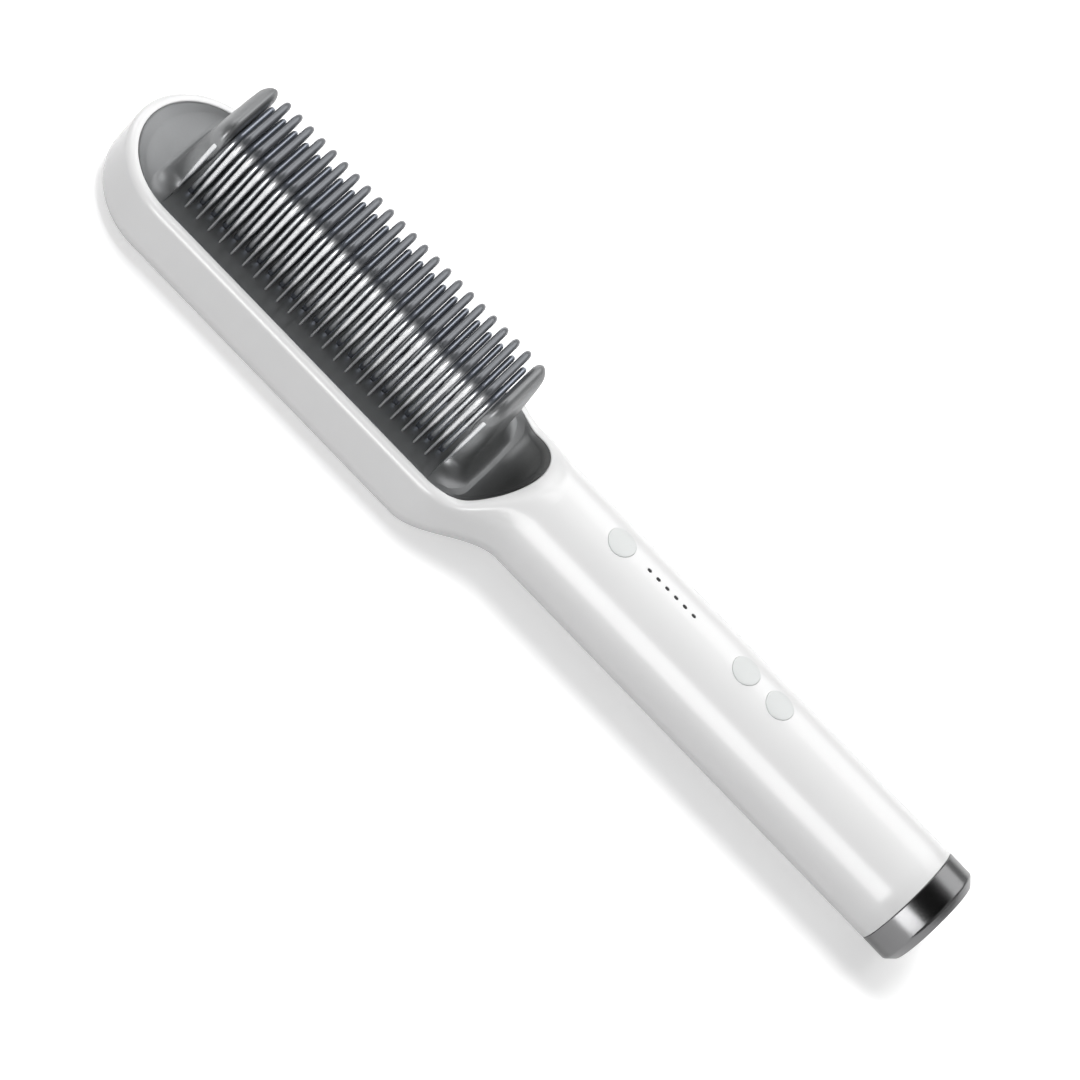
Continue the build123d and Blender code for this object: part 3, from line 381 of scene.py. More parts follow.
cutter = bmesh.new()
hole_low = axis_height + 8 * mm
hole_high = axis_height + handle_radius + 3 * mm
for name in button_names:
    low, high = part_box(name)
    x = (low.x + high.x) / 2
    angles = [math.tau * k / hole_sides for k in range(hole_sides)]
    outline = [(x + hole_radius * math.cos(a), hole_radius * math.sin(a)) for a in angles]
    add_prism(cutter, outline, hole_low, hole_high)
for x in window_places:
    reach = slot_half_length - slot_half_width
    outline = []
    for k in range(slot_sides):
        a = math.tau * (k + 0.5) / slot_sides
        along = math.copysign(reach, math.cos(a)) + slot_half_width * math.cos(a)
        outline.append((x + along, slot_half_width * math.sin(a)))
    add_prism(cutter, outline, hole_low, hole_high)
cut_out(front_body, cutter)

# The round handle gets the normals of a true cylinder, so that the light runs straight along it.
cylinder_bend = 0.97
skin = front_body.data
normals = [n.vector.copy() for n in skin.corner_normals]
for face in skin.polygons:
    out = Vector((0, face.center.y, face.center.z - axis_height))
    faces_out = face.normal.dot(out.normalized()) > cylinder_bend
    on_skin = out.length > handle_radius - least_round and faces_out
    if face.center.x > neck_end and on_skin:
        for corner in face.loop_indices:
            place = skin.vertices[skin.loops[corner].vertex_index].co
            if place.x < handle_end - 2 * parting_round:
                normals[corner] = Vector((0, place.y, place.z - axis_height)).normalized()
skin.normals_split_custom_set(normals)


# White plastic. A shader group holds what every moulded, coated and plated finish here
# shares: a gloss that is slightly uneven over the piece and a very fine grain.
grain_height = 0.2 * mm


def new_group(name, inputs, outputs):
    """Empty shader group with named float inputs and named outputs."""
    group = bpy.data.node_groups.new(name, "ShaderNodeTree")
    for label, value in inputs:
        socket = group.interface.new_socket(label, in_out="INPUT", socket_type="NodeSocketFloat")
        socket.default_value = value
    for label, kind in outputs:
        group.interface.new_socket(label, in_out="OUTPUT", socket_type=kind)
    return group


def wire(tree, kind, links=(), **settings):
    """Adds a node, sets its properties and inputs, and links sockets to it."""
    node = tree.nodes.new(kind)
    for label, value in settings.items():
        setattr(node, label, value)
    for socket, source in links:
        if hasattr(source, "is_output") and source.is_output:
            tree.links.new(source, node.inputs[socket])
        else:
            node.inputs[socket].default_value = source
    return node


surface_grain = new_group(
    "surface_grain",
    [("Cloud Size", 60.0), ("Grain Size", 2500.0), ("Low", 0.2), ("High", 0.4)],
    [("Roughness", "NodeSocketFloat"), ("Height", "NodeSocketFloat"), ("Cloud", "NodeSocketFloat")],
)
inside = wire(surface_grain, "NodeGroupInput").outputs
place = wire(surface_grain, "ShaderNodeTexCoord").outputs["Object"]
noise = []
for size, detail in (("Cloud Size", 3.0), ("Grain Size", 2.0)):
    settings = [("Vector", place), ("Scale", inside[size]), ("Detail", detail)]
    noise.append(wire(surface_grain, "ShaderNodeTexNoise", settings).outputs["Fac"])
cloud, grain = noise
blend = wire(surface_grain, "ShaderNodeMath", [(0, cloud), (1, grain)], operation="ADD")
spread = wire(
    surface_grain,
    "ShaderNodeMapRange",
    [
        ("Value", blend.outputs[0]),
        ("From Min", 0.7),
        ("From Max", 1.3),
        ("To Min", inside["Low"]),
        ("To Max", inside["High"]),
    ],
)
results = [("Roughness", spread.outputs[0]), ("Height", grain), ("Cloud", cloud)]
wire(surface_grain, "NodeGroupOutput", results)


def finish(name, colour, low, high, metallic=0.0, cloud_size=60.0, grain_depth=0.02, tint=0.06, coat=0.0):
    """Material with the shared grain: colour that drifts a little, roughness between two values."""
    material = bpy.data.materials.new(name)
    material.use_nodes = True
    tree = material.node_tree
    shader = tree.nodes["Principled BSDF"]
    grain = wire(tree, "ShaderNodeGroup", node_tree=surface_grain)
    grain.inputs["Cloud Size"].default_value = cloud_size
    grain.inputs["Low"].default_value = low
    grain.inputs["High"].default_value = high
    drift = wire(tree, "ShaderNodeMix", [(0, grain.outputs["Cloud"])], data_type="RGBA")
    drift.inputs[6].default_value = (*[c * (1 - tint) for c in colour], 1)
    drift.inputs[7].default_value = (*[min(c * (1 + tint), 1) for c in colour], 1)
    tree.links.new(drift.outputs[2], shader.inputs["Base Color"])
    tree.links.new(grain.outputs["Roughness"], shader.inputs["Roughness"])
    relief = [("Height", grain.outputs["Height"]), ("Strength", grain_depth), ("Distance", grain_height)]
    bump = wire(tree, "ShaderNodeBump", relief)
    tree.links.new(bump.outputs[0], shader.inputs["Normal"])
    shader.inputs["Metallic"].default_value = metallic
    shader.inputs["Coat Weight"].default_value = coat
    shader.inputs["Coat Roughness"].default_value = 0.2
    return material


white_plastic = finish(
    "white_plastic", (0.80, 0.80, 0.80), 0.28, 0.4, grain_depth=0.004, tint=0.01, coat=1.0
)
front_body.data.materials.clear()
front_body.data.materials.append(white_plastic)
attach(front_body, "brush")
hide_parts("front_shell")


# Guard insert. The real piece is a dark moulding in heat-proof nylon that fills the head's
# opening: a sloping border, a sunk floor with a slot for each heated fin, and a hollow
# slide that climbs to the handle. It is pushed in from the front and screwed from behind.
insert_gap = 0.06 * mm
insert_sink = 0.2 * mm
insert_round = 0.18 * mm
border_depth = 1.0 * mm
floor_depth = 1.5 * mm
border_reach = 15.6 * mm
border_half_width = 18.0 * mm
border_side_depth = 0.3 * mm
slide_border = 1.6 * mm
slide_depth = 2.2 * mm
comb_pitch = 3.94 * mm
comb_count = 23
comb_middle = (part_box("heating_comb")[0].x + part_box("heating_comb")[1].x) / 2
fin_places = [comb_middle + comb_pitch * (k - (comb_count - 1) / 2) for k in range(comb_count)]
guard_places = [(here + there) / 2 for here, there in zip(fin_places, fin_places[1:])]
end_blade_step = 4.6 * mm
end_places = (guard_places[0] - end_blade_step, guard_places[-1] + end_blade_step)
head_columns, side_columns, slide_columns = 48, 110, 48
border_rows, floor_rows, round_rows = 10, 16, 4
climb_turn = math.radians(50)
border_share = 0.35
bowl_spread = 2.2


def insert_mesh():
    """Closed mesh of the insert, from its outline over border and floor to its flat underside."""
    mesh = bmesh.new()
    outline = []
    for step in range(head_columns):
        outline.append(("head", math.pi / 2 * step / head_columns))
    for step in range(side_columns):
        outline.append(("side", step / side_columns))
    for step in range(slide_columns + 1):
        outline.append(("slide", math.pi / 2 * step / slide_columns))
    columns = []
    for zone, place in outline:
        radius = opening_radius - insert_gap
        if zone == "head":
            edge = Vector((head_centre - radius * math.cos(place), radius * math.sin(place), 0))
            crease_x = head_centre - border_reach * math.cos(place)
            crease = Vector((crease_x, border_half_width * math.sin(place), 0))
            core = Vector((head_centre, 0, 0))
            climb = 0.0
            slope = mix(border_side_depth, border_depth, math.cos(place) ** 2)
        elif zone == "side":
            x = mix(head_centre, neck_start, place)
            edge = Vector((x, radius, 0))
            crease = Vector((x, border_half_width, 0))
            core = Vector((x, 0, 0))
            climb = 0.0
            slope = border_side_depth
        else:
            edge = Vector((neck_start + radius * math.sin(place), radius * math.cos(place), 0))
            climb = rise(place, 0, climb_turn)
            side = mix(border_half_width, radius - slide_border, climb)
            crease_x = neck_start + (radius - slide_border) * math.sin(place)
            crease = Vector((crease_x, side * math.cos(place), 0))
            core = Vector((neck_start, 0, 0))
            slope = border_side_depth
        column = []
        for part, count in (("border", border_rows), ("floor", floor_rows)):
            for step in range(count + (part == "floor")):
                t = step / count
                if part == "border":
                    spot = edge.lerp(crease, t)
                    sink = mix(slope * t, slide_depth * border_share * t * t, climb)
                else:
                    spot = crease.lerp(core, t)
                    bowl = 1 - (1 - min(t * bowl_spread, 1)) ** 2
                    low = slide_depth * mix(border_share, 1.0, bowl)
                    sink = mix(mix(slope, floor_depth, bowl), low, climb)
                column.append(Vector((spot.x, spot.y, slope_height(spot.x) - insert_sink - sink)))
        rim = column[0]
        inward = (Vector((core.x, core.y, 0)) - edge).normalized() * insert_round
        rounded = []
        for step in range(round_rows):
            angle = math.pi / 2 * step / round_rows
            drop = Vector((0, 0, -insert_round * (1 - math.sin(angle))))
            rounded.append(rim + inward * (1 - math.cos(angle)) + drop)
        under = [Vector((edge.x, edge.y, ledge_height)), Vector((core.x, core.y, ledge_height))]
        columns.append(rounded + [rim + inward] + column[1:] + list(reversed(under)))
    for side in (1, -1):
        grid = [[mesh.verts.new((p.x, side * p.y, p.z)) for p in column] for column in columns]
        for here, there in zip(grid, grid[1:]):
            for k in range(len(here)):
                n = (k + 1) % len(here)
                add_face(mesh, (here[k], there[k], there[n], here[n]))
    bmesh.ops.remove_doubles(mesh, verts=mesh.verts, dist=same_place)
    doubled = [f for f in mesh.faces if all(abs(v.co.y) < same_place for v in f.verts)]
    bmesh.ops.delete(mesh, geom=doubled, context="FACES_ONLY")
    bmesh.ops.recalc_face_normals(mesh, faces=mesh.faces)
    return mesh


plain_insert = insert_mesh()
floor_tree = BVHTree.FromBMesh(plain_insert)
guard_insert = make_piece("guard_insert", plain_insert)


def floor_height(x, y):
    """Height of the insert's face under a point, or at its edge for a point beyond it."""
    hub = Vector((min(max(x, head_centre), neck_start), 0))
    away = Vector((x, y)) - hub
    limit = opening_radius - insert_gap - insert_round
    if away.length > limit:
        away *= limit / away.length
    return floor_tree.ray_cast(Vector((hub.x + away.x, away.y, 1)), Vector((0, 0, -1)))[0].z


# Slots of the insert. Each heated fin stands in its own round-ended slot.
slot_width = 1.7 * mm
slot_length = 17.0 * mm
slot_end_sides = 16
slot_low = ledge_height - 1 * mm
slot_high = rim_height + 2 * mm
cutter = bmesh.new()
for x in fin_places:
    ends = []
    for k in range(slot_end_sides):
        a = math.tau * (k + 0.5) / slot_end_sides
        radius = slot_width / 2
        beside = math.copysign(slot_length / 2 - radius, math.sin(a)) + radius * math.sin(a)
        ends.append((x + radius * math.cos(a), beside))
    add_prism(cutter, ends, slot_low, slot_high)
cut_out(guard_insert, cutter)
guard_insert.data.set_sharp_from_angle(angle=math.radians(40))


# Guard blades. They are moulded on the insert and keep the hot fins off the scalp: tall
# blades with rounded edges, thin at the foot and full at the top. The first and last have a
# thick buttress behind them, whose outer face sweeps out into the insert.
guard_top = axis_height + 28.5 * mm
guard_half_width = 12.6 * mm
guard_corner = 5.0 * mm
guard_tip = 1.2 * mm
guard_crown = 1.03 * mm
guard_waist = 0.62 * mm
guard_foot_side = 0.27 * mm
guard_edge = 0.7 * mm
crown_fade = (0.7, 0.97)
guard_levels = (21.5 * mm, 30.0 * mm, 33.0 * mm, 43.5 * mm)
guard_flare = 0.5 * mm
guard_flare_foot = ledge_height + 1.5 * mm
guard_flare_top = 21.5 * mm
side_round = 0.4 * mm
blade_lean = 0.6 * mm
blade_foot = rim_height - 2.6 * mm
blade_columns = 36
crest_drop = 0.35 * mm
pin_top = 45.0 * mm
pin_corner = 5.5 * mm
end_foot = rim_height - 1.8 * mm
end_sink = 0.005 * mm
end_half_width = 11.7 * mm
end_rows = 64
face_reach = 2.2 * mm
face_spread = 2.4 * mm
face_crown = 0.06
foot_round_top = end_foot + 10 * mm
foot_round = 5.0 * mm
buttress_round = 4.0 * mm
buttress_tip = 4.0 * mm
head_hollow = (3.5 * mm, 1.8 * mm)
slide_hollow = (8.5 * mm, 4.6 * mm)
side_hollow = (5.0 * mm, 8.6 * mm)
inner_reach = (0.2 * mm, 1.5 * mm)
inner_levels = (29 * mm, 37 * mm)
crown_spread = 0.8 * mm
crown_levels = (34 * mm, 41 * mm)


def round_over(share):
    """Quarter-round profile: 0 at the edge, 1 once past the rounding."""
    left = 1 - min(max(share, 0.0), 1.0)
    return math.sqrt(max(1 - left * left, 0.0))


def add_blade(mesh, x, foot, top, half_width, corner, tip, left, right, spread, landing=None, rows=34):
    """Blade as two skins that meet at its outline.

    left and right give each skin's reach and its edge's rounding, spread widens the blade,
    and landing sets its foot on a face.
    """
    skins = {-1: [], 1: []}
    for j in range(blade_columns + 1):
        across = math.sin(math.pi / 2 * (2 * j / blade_columns - 1))
        flat = 1 - corner / half_width
        past = max(abs(across) - flat, 0.0) / (1 - flat)
        crest = top - corner * (1 - math.sqrt(max(1 - past * past, 0.0))) - crest_drop * across * across
        lines = {-1: [], 1: []}
        for i in range(rows + 1):
            up = rise(i / rows, 0, 1)
            z = mix(foot, crest, up)
            lean = blade_lean * (z - foot) / (top - foot)
            y = across * (half_width - lean + spread(z))
            for side, reach in ((-1, left), (1, right)):
                thickness, edge = reach(across, z)
                cap = round_over((crest - z) / tip) * round_over(half_width * (1 - abs(across)) / edge)
                place = x + side * thickness * cap
                height = mix(landing(place, y), crest, up) if landing else z
                lines[side].append(mesh.verts.new((place, y, height)))
        for side in (-1, 1):
            skins[side].append(lines[side])
    for side in (-1, 1):
        for a, b in zip(skins[side], skins[side][1:]):
            for i in range(rows):
                corners = [a[i], b[i], b[i + 1], a[i + 1]]
                mesh.faces.new(corners if side > 0 else list(reversed(corners)))
    west, east = skins[-1], skins[1]
    for j in range(blade_columns):
        mesh.faces.new((west[j][0], west[j + 1][0], east[j + 1][0], east[j][0]))


def guard_reach(across, z):
    """Half the thickness of a guard blade, and how far its side edge is rounded."""
    foot = mix(guard_waist, guard_foot_side, across * across)
    waist = mix(foot, guard_waist, rise(z, *guard_levels[:2]))
    crown = mix(guard_crown, guard_edge, rise(abs(across), *crown_fade))
    return mix(waist, crown, rise(z, *guard_levels[2:])), side_round


def guard_spread(z):
    """Widening of a guard blade's foot."""
    return guard_flare * (1 - rise(z, guard_flare_foot, guard_flare_top))


def hollow_foot(z, height):
    """Quarter-round hollow at the foot of a buttress: 1 at the floor, 0 above it."""
    share = min(max((z - end_foot) / height, 0.0), 1.0)
    return 1 - math.sqrt(1 - (1 - share) ** 2)


def buttress_face(across, z, height, depth):
    """Outer face of a buttress, which sweeps out to its foot."""
    up = min(max((z - end_foot) / (guard_top - end_foot), 0.0), 1.0)
    reach = face_reach + face_spread * (1 - up * up) + depth * hollow_foot(z, height)
    rounding = mix(foot_round, buttress_round, rise(z, end_foot, foot_round_top))
    return reach * (1 - face_crown + face_crown * (1 - across * across)), rounding


def head_face(across, z):
    """Outer face of the buttress at the head's end, with a small hollow at its foot."""
    return buttress_face(across, z, *head_hollow)


def slide_face(across, z):
    """Outer face of the buttress at the handle's side, with a long hollow at its foot."""
    return buttress_face(across, z, *slide_hollow)


def end_inner_reach(across, z):
    """Inner face of a buttress, inside its pin below and just proud of it above."""
    return mix(*inner_reach, rise(z, *inner_levels)), side_round


def end_spread(z):
    """Widening of a buttress: to the insert's rim at its foot, and over its pin at the top."""
    return side_hollow[1] * hollow_foot(z, side_hollow[0]) + crown_spread * rise(z, *crown_levels)


def pin_reach(across, z):
    """Half the thickness of a pin, the thin blade in front of a buttress."""
    return mix(guard_foot_side, guard_waist, rise(z, *guard_levels[:2])), side_round


def end_landing(x, y):
    """Foot of a buttress, a hair under the insert's face."""
    return floor_height(x, y) - end_sink


def finish_blades(mesh):
    """Joins the skins of all blades at their outlines and turns every face outward."""
    bmesh.ops.remove_doubles(mesh, verts=mesh.verts, dist=2e-7)
    bmesh.ops.dissolve_degenerate(mesh, dist=1e-7, edges=mesh.edges)
    bmesh.ops.recalc_face_normals(mesh, faces=mesh.faces)


blades = bmesh.new()
for places, top, corner, reach in (
    (guard_places, guard_top, guard_corner, guard_reach),
    (end_places, pin_top, pin_corner, pin_reach),
):
    for x in places:
        add_blade(
            blades, x, blade_foot, top, guard_half_width, corner, guard_tip, reach, reach, guard_spread
        )
finish_blades(blades)
guard_blades = make_piece("guard_blades", blades, 80)
buttresses = bmesh.new()
for x, left, right in zip(end_places, (head_face, end_inner_reach), (end_inner_reach, slide_face)):
    add_blade(
        buttresses, x, end_foot, guard_top, end_half_width, guard_corner, buttress_tip, left, right,
        end_spread, end_landing, end_rows,
    )
finish_blades(buttresses)
end_blades = make_piece("end_blades", buttresses, 80)

# Painted edge highlights. A shader group finds the side edges of a blade, where a bright colour is painted
# in place of the highlight they catch: beyond a rounded box in Y and Z, and under the crest.
edge_fade = (-1.0 * mm, 1.5 * mm)
crest_fade = 1.4 * mm
box_labels = ("Flat Width", "Corner Level", "Inner", "Outer", "Top")
blade_box = (7.2 * mm, 41.2 * mm, 3.4 * mm, 4.4 * mm, 45.4 * mm)
painted_highlight_edges = new_group("painted_highlight_edges", list(zip(box_labels, blade_box)), [("Mask", "NodeSocketFloat")])


def reckon(operation, *values):
    """Result of a maths node in the group of the bright edges."""
    return wire(painted_highlight_edges, "ShaderNodeMath", list(enumerate(values)), operation=operation).outputs[0]


def ramp(value, low, high):
    """Rise from 0 to 1 between two values, in the group of the bright edges."""
    settings = [("Value", value), ("From Min", low), ("From Max", high)]
    return wire(painted_highlight_edges, "ShaderNodeMapRange", settings).outputs[0]


inside = wire(painted_highlight_edges, "NodeGroupInput").outputs
spot = wire(painted_highlight_edges, "ShaderNodeTexCoord").outputs["Object"]
axes = wire(painted_highlight_edges, "ShaderNodeSeparateXYZ", [(0, spot)]).outputs
beyond = reckon("SUBTRACT", reckon("ABSOLUTE", axes["Y"]), inside["Flat Width"])
above = reckon("SUBTRACT", axes["Z"], inside["Corner Level"])
outward = [("X", reckon("MAXIMUM", beyond, 0)), ("Y", reckon("MAXIMUM", above, 0))]
corner = wire(painted_highlight_edges, "ShaderNodeCombineXYZ", outward)
distance = wire(painted_highlight_edges, "ShaderNodeVectorMath", [(0, corner.outputs[0])], operation="LENGTH")
edge = ramp(distance.outputs["Value"], inside["Inner"], inside["Outer"])
side = ramp(beyond, *edge_fade)
lower = ramp(reckon("SUBTRACT", inside["Top"], axes["Z"]), 0, crest_fade)
mask = reckon("MULTIPLY", reckon("MULTIPLY", edge, side), lower)
wire(painted_highlight_edges, "NodeGroupOutput", [("Mask", mask)])


def lay_over(material, mask, colour):
    """Lays another colour over a finish where the mask says so."""
    tree = material.node_tree
    shader = tree.nodes["Principled BSDF"]
    under = shader.inputs["Base Color"].links[0].from_socket
    blend = wire(tree, "ShaderNodeMix", [(0, mask), (6, under)], data_type="RGBA")
    blend.inputs[7].default_value = (*colour, 1)
    tree.links.new(blend.outputs[2], shader.inputs["Base Color"])


def paint_edge_highlights(material, colour, places):
    """Lays a painted highlight, a bright colour, on a blade's side edges over a finish."""
    edges = wire(material.node_tree, "ShaderNodeGroup", node_tree=painted_highlight_edges)
    for label, value in zip(box_labels, places):
        edges.inputs[label].default_value = value
    lay_over(material, edges.outputs["Mask"], colour)


# Finishes of the insert, with painted shade that darkens it towards the handle, and of the blades.
shade_from = neck_start + 3 * mm
shade_to = neck_start + 15 * mm
guard_plastic = finish(
    "guard_plastic", (0.27, 0.275, 0.28), 0.36, 0.46, metallic=0.8, grain_depth=0.003, tint=0.04
)
guard_tree = guard_plastic.node_tree
guard_spot = wire(guard_tree, "ShaderNodeTexCoord").outputs["Object"]
guard_axes = wire(guard_tree, "ShaderNodeSeparateXYZ", [(0, guard_spot)])
shade_settings = [("Value", guard_axes.outputs["X"]), ("From Min", shade_from), ("From Max", shade_to)]
painted_shade_towards_handle = wire(guard_tree, "ShaderNodeMapRange", shade_settings)
# Painted shade: a near-black colour laid over this finish from just past the neck's start towards the
# handle, for the shade in the hollow slide under the neck.
lay_over(guard_plastic, painted_shade_towards_handle.outputs[0], (0.07, 0.072, 0.071))
blade_plastic = finish(
    "blade_plastic", (0.19, 0.198, 0.212), 0.26, 0.36, metallic=0.7, grain_depth=0.002, tint=0.04
)
# Painted highlight: a near-white colour on the blades' side edges, standing in for the light they catch.
paint_edge_highlights(blade_plastic, (0.84, 0.85, 0.86), blade_box)
for piece, material in (
    (guard_insert, guard_plastic),
    (guard_blades, blade_plastic),
    (end_blades, guard_plastic),
):
    piece.data.materials.clear()
    piece.data.materials.append(material)
    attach(piece, "brush")
    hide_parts("comb_guard")


# Heated fins. The real comb is die-cast aluminium with a blue-grey ceramic coat: thin fins,
# lower than the guard's blades, that stand on one plate over the heater.
fin_top = axis_height + 25.2 * mm
fin_half_width = 10.4 * mm
fin_corner = 4.2 * mm
fin_tip = 1.1 * mm
fin_foot = ledge_height - 1.5 * mm
fin_crown = 0.85 * mm
fin_root = 0.58 * mm
fin_edge = 0.6 * mm
fin_heel = 2.2 * mm
fin_heel_foot = 18.0 * mm
fin_heel_top = 23.0 * mm
fin_levels = (24.0 * mm, 40.0 * mm)
fin_box = (5.8 * mm, 38.8 * mm, 2.6 * mm, 3.6 * mm, 42.6 * mm)


def fin_reach(across, z):
    """Half the thickness of a heated fin, and how far its side edge is rounded."""
    crown = mix(fin_crown, fin_edge, rise(abs(across), *crown_fade))
    return mix(fin_root, crown, rise(z, *fin_levels)), side_round


def fin_spread(z):
    """Narrowing of a heated fin's foot, so that it passes its slot."""
    return -fin_heel * (1 - rise(z, fin_heel_foot, fin_heel_top))


fins = bmesh.new()
for x in fin_places:
    add_blade(
        fins, x, fin_foot, fin_top, fin_half_width, fin_corner, fin_tip, fin_reach, fin_reach, fin_spread
    )
finish_blades(fins)


# Base plate of the fins, with a notch at each corner for a screw.
plate_low, plate_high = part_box("heating_comb")
plate_top = plate_low.z + 2 * mm
plate_notch = 6.2 * mm
along = plate_high.x - comb_middle
beside = plate_high.y
inner = (along - plate_notch, beside - plate_notch)
notch = [(inner[0], beside), inner, (along, inner[1])]
plate_points = []
for east, north in ((1, 1), (-1, 1), (-1, -1), (1, -1)):
    corners = reversed(notch) if east * north > 0 else notch
    plate_points += [(comb_middle + east * x, north * y) for x, y in corners]
add_prism(fins, plate_points, plate_low.z, plate_top)
bmesh.ops.recalc_face_normals(fins, faces=fins.faces)
heated_fins = make_piece("heated_fins", fins, 80)
coated_metal = finish(
    "coated_metal", (0.38, 0.41, 0.47), 0.28, 0.38, metallic=0.85, grain_depth=0.001, tint=0.04
)
# Painted highlight: a near-white colour on the fins' side edges, standing in for the light they catch.
paint_edge_highlights(coated_metal, (0.86, 0.88, 0.90), fin_box)
heated_fins.data.materials.clear()
heated_fins.data.materials.append(coated_metal)
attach(heated_fins, "brush")
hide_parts("heating_comb")


# Push buttons. Each is a moulded cap with a round rim for the shell to hold and a stem that
# presses a switch. The cap follows the handle's roundness and stands a hair proud of it.
cap_radius = 3.95 * mm
cap_round = 0.18 * mm
cap_proud = 0.25 * mm
cap_sink = 0.1 * mm
rim_reach = 1.2 * mm
rim_band = 1.1 * mm
stem_radius = 1.6 * mm
stem_reach = 1.5 * mm
soft_edge = 0.15 * mm
cap_sides = 72
cap_round_rows = 4
cap_crown_rows = 8
button_plastic = finish("button_plastic", (0.67, 0.685, 0.68), 0.26, 0.36, tint=0.03)


def button_mesh(x):
    """Closed mesh of one button from its stem up to the crowned cap."""
    mesh = bmesh.new()
    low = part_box("power_button")[0].z
    band = low + stem_reach
    seat = band + rim_band
    wide = cap_radius + rim_reach
    crown = handle_radius + cap_proud
    stem = [(stem_radius - soft_edge, low), (stem_radius, low + soft_edge), (stem_radius, band)]
    rim = [
        (wide - soft_edge, band), (wide, band + soft_edge),
        (wide, seat - soft_edge), (wide - soft_edge, seat), (cap_radius, seat),
    ]
    top = []
    for step in range(cap_round_rows + 1):
        angle = math.pi / 2 * step / cap_round_rows
        drop = -cap_round * (1 - math.sin(angle))
        top.append((cap_radius - cap_round * (1 - math.cos(angle)), drop))
    for step in range(1, cap_crown_rows):
        share = 1 - step / cap_crown_rows
        top.append(((cap_radius - cap_round) * share, -cap_sink * (1 - share * share) ** 2))
    grid = []
    for index, (r, level) in enumerate(stem + rim + top):
        line = []
        for k in range(cap_sides):
            a = math.tau * k / cap_sides
            px, py = r * math.cos(a), r * math.sin(a)
            on_top = index >= len(stem + rim)
            z = level + (axis_height + math.sqrt(crown * crown - py * py)) if on_top else level
            line.append(mesh.verts.new((x + px, py, z)))
        grid.append(line)
    for here, there in zip(grid, grid[1:]):
        for k in range(cap_sides):
            n = (k + 1) % cap_sides
            mesh.faces.new((here[k], here[n], there[n], there[k]))
    for ring, height in ((list(reversed(grid[0])), low), (grid[-1], axis_height + crown - cap_sink)):
        middle = mesh.verts.new((x, 0, height))
        for k in range(cap_sides):
            mesh.faces.new((ring[k], ring[(k + 1) % cap_sides], middle))
    bmesh.ops.recalc_face_normals(mesh, faces=mesh.faces)
    return mesh


for name in button_names:
    lowest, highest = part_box(name)
    cap = make_piece(name.replace("button", "cap"), button_mesh((lowest.x + highest.x) / 2), 50)
    cap.data.materials.append(button_plastic)
    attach(cap, name.replace("button", "key"))
    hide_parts(name)


# End ring. The real ring is drawn steel with a dark chrome plating, polished, with a bevel
# at its outer edge. Its spigot is pressed into the handle and its lip holds the end plate.
spigot_radius = 12.7 * mm
spigot_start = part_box("end_ring")[0].x
shell_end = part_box("front_shell")[1].x
ring_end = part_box("end_ring")[1].x
ring_bore = 11.2 * mm
ring_bevel = 2.2 * mm
ring_seam = 0.12 * mm
ring_lip = 1.0 * mm
plate_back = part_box("end_plate")[0].x
ring_sides = 160
dark_chrome = finish(
    "dark_chrome", (0.21, 0.21, 0.213), 0.2, 0.27, metallic=1.0, cloud_size=90, grain_depth=0.004, tint=0.04
)


def ease_corner(before, corner, after, radius, count=6):
    """Points that round one corner of a profile."""
    there = (Vector(before) - Vector(corner)).normalized()
    away = (Vector(after) - Vector(corner)).normalized()
    half = there.angle(away) / 2
    reach = radius / math.tan(half)
    start = Vector(corner) + there * reach
    stop = Vector(corner) + away * reach
    middle = Vector(corner) + (there + away).normalized() * radius / math.sin(half)
    arm, goal = start - middle, stop - middle
    points = []
    for k in range(count + 1):
        share = k / count
        turn = arm.angle(goal)
        spot = (arm * math.sin((1 - share) * turn) + goal * math.sin(share * turn)) / math.sin(turn)
        points.append(tuple(middle + spot))
    return points


def lathe(name, profile, sides, sharp=40):
    """Closed ring turned round the handle's axis from a closed profile of (x, radius)."""
    mesh = bmesh.new()
    grid = []
    for k in range(sides):
        a = math.tau * k / sides
        y, z = math.sin(a), math.cos(a)
        grid.append([mesh.verts.new((x, r * y, axis_height + r * z)) for x, r in profile])
    for k in range(sides):
        here, there = grid[k], grid[(k + 1) % sides]
        for j in range(len(profile)):
            n = (j + 1) % len(profile)
            mesh.faces.new((here[j], here[n], there[n], there[j]))
    bmesh.ops.recalc_face_normals(mesh, faces=mesh.faces)
    return make_piece(name, mesh, sharp)


# Profile of the ring: each corner's x and radius, and how far it is rounded in millimetres.
seam = shell_end + ring_seam
lip_start = plate_back - ring_lip
corners = [
    (spigot_start, ring_bore, 0.1), (spigot_start, spigot_radius, 0.3),
    (seam, spigot_radius, 0.05), (seam, handle_radius, 0.25),
    (ring_end - ring_bevel, handle_radius, 1.2), (ring_end, handle_radius - ring_bevel, 0.5),
    (ring_end, ring_bore, 0.3), (plate_back, ring_bore, 0.02),
    (plate_back, ring_bore - ring_lip, 0.1), (lip_start, ring_bore - ring_lip, 0.1),
    (lip_start, ring_bore, 0.02),
]
profile = []
for k, (x, r, rounding) in enumerate(corners):
    before, after = corners[k - 1][:2], corners[(k + 1) % len(corners)][:2]
    profile += ease_corner(before, (x, r), after, rounding * mm)
chrome_ring = lathe("chrome_ring", profile, ring_sides)
chrome_ring.data.materials.append(dark_chrome)
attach(chrome_ring, "brush")
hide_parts("end_ring")


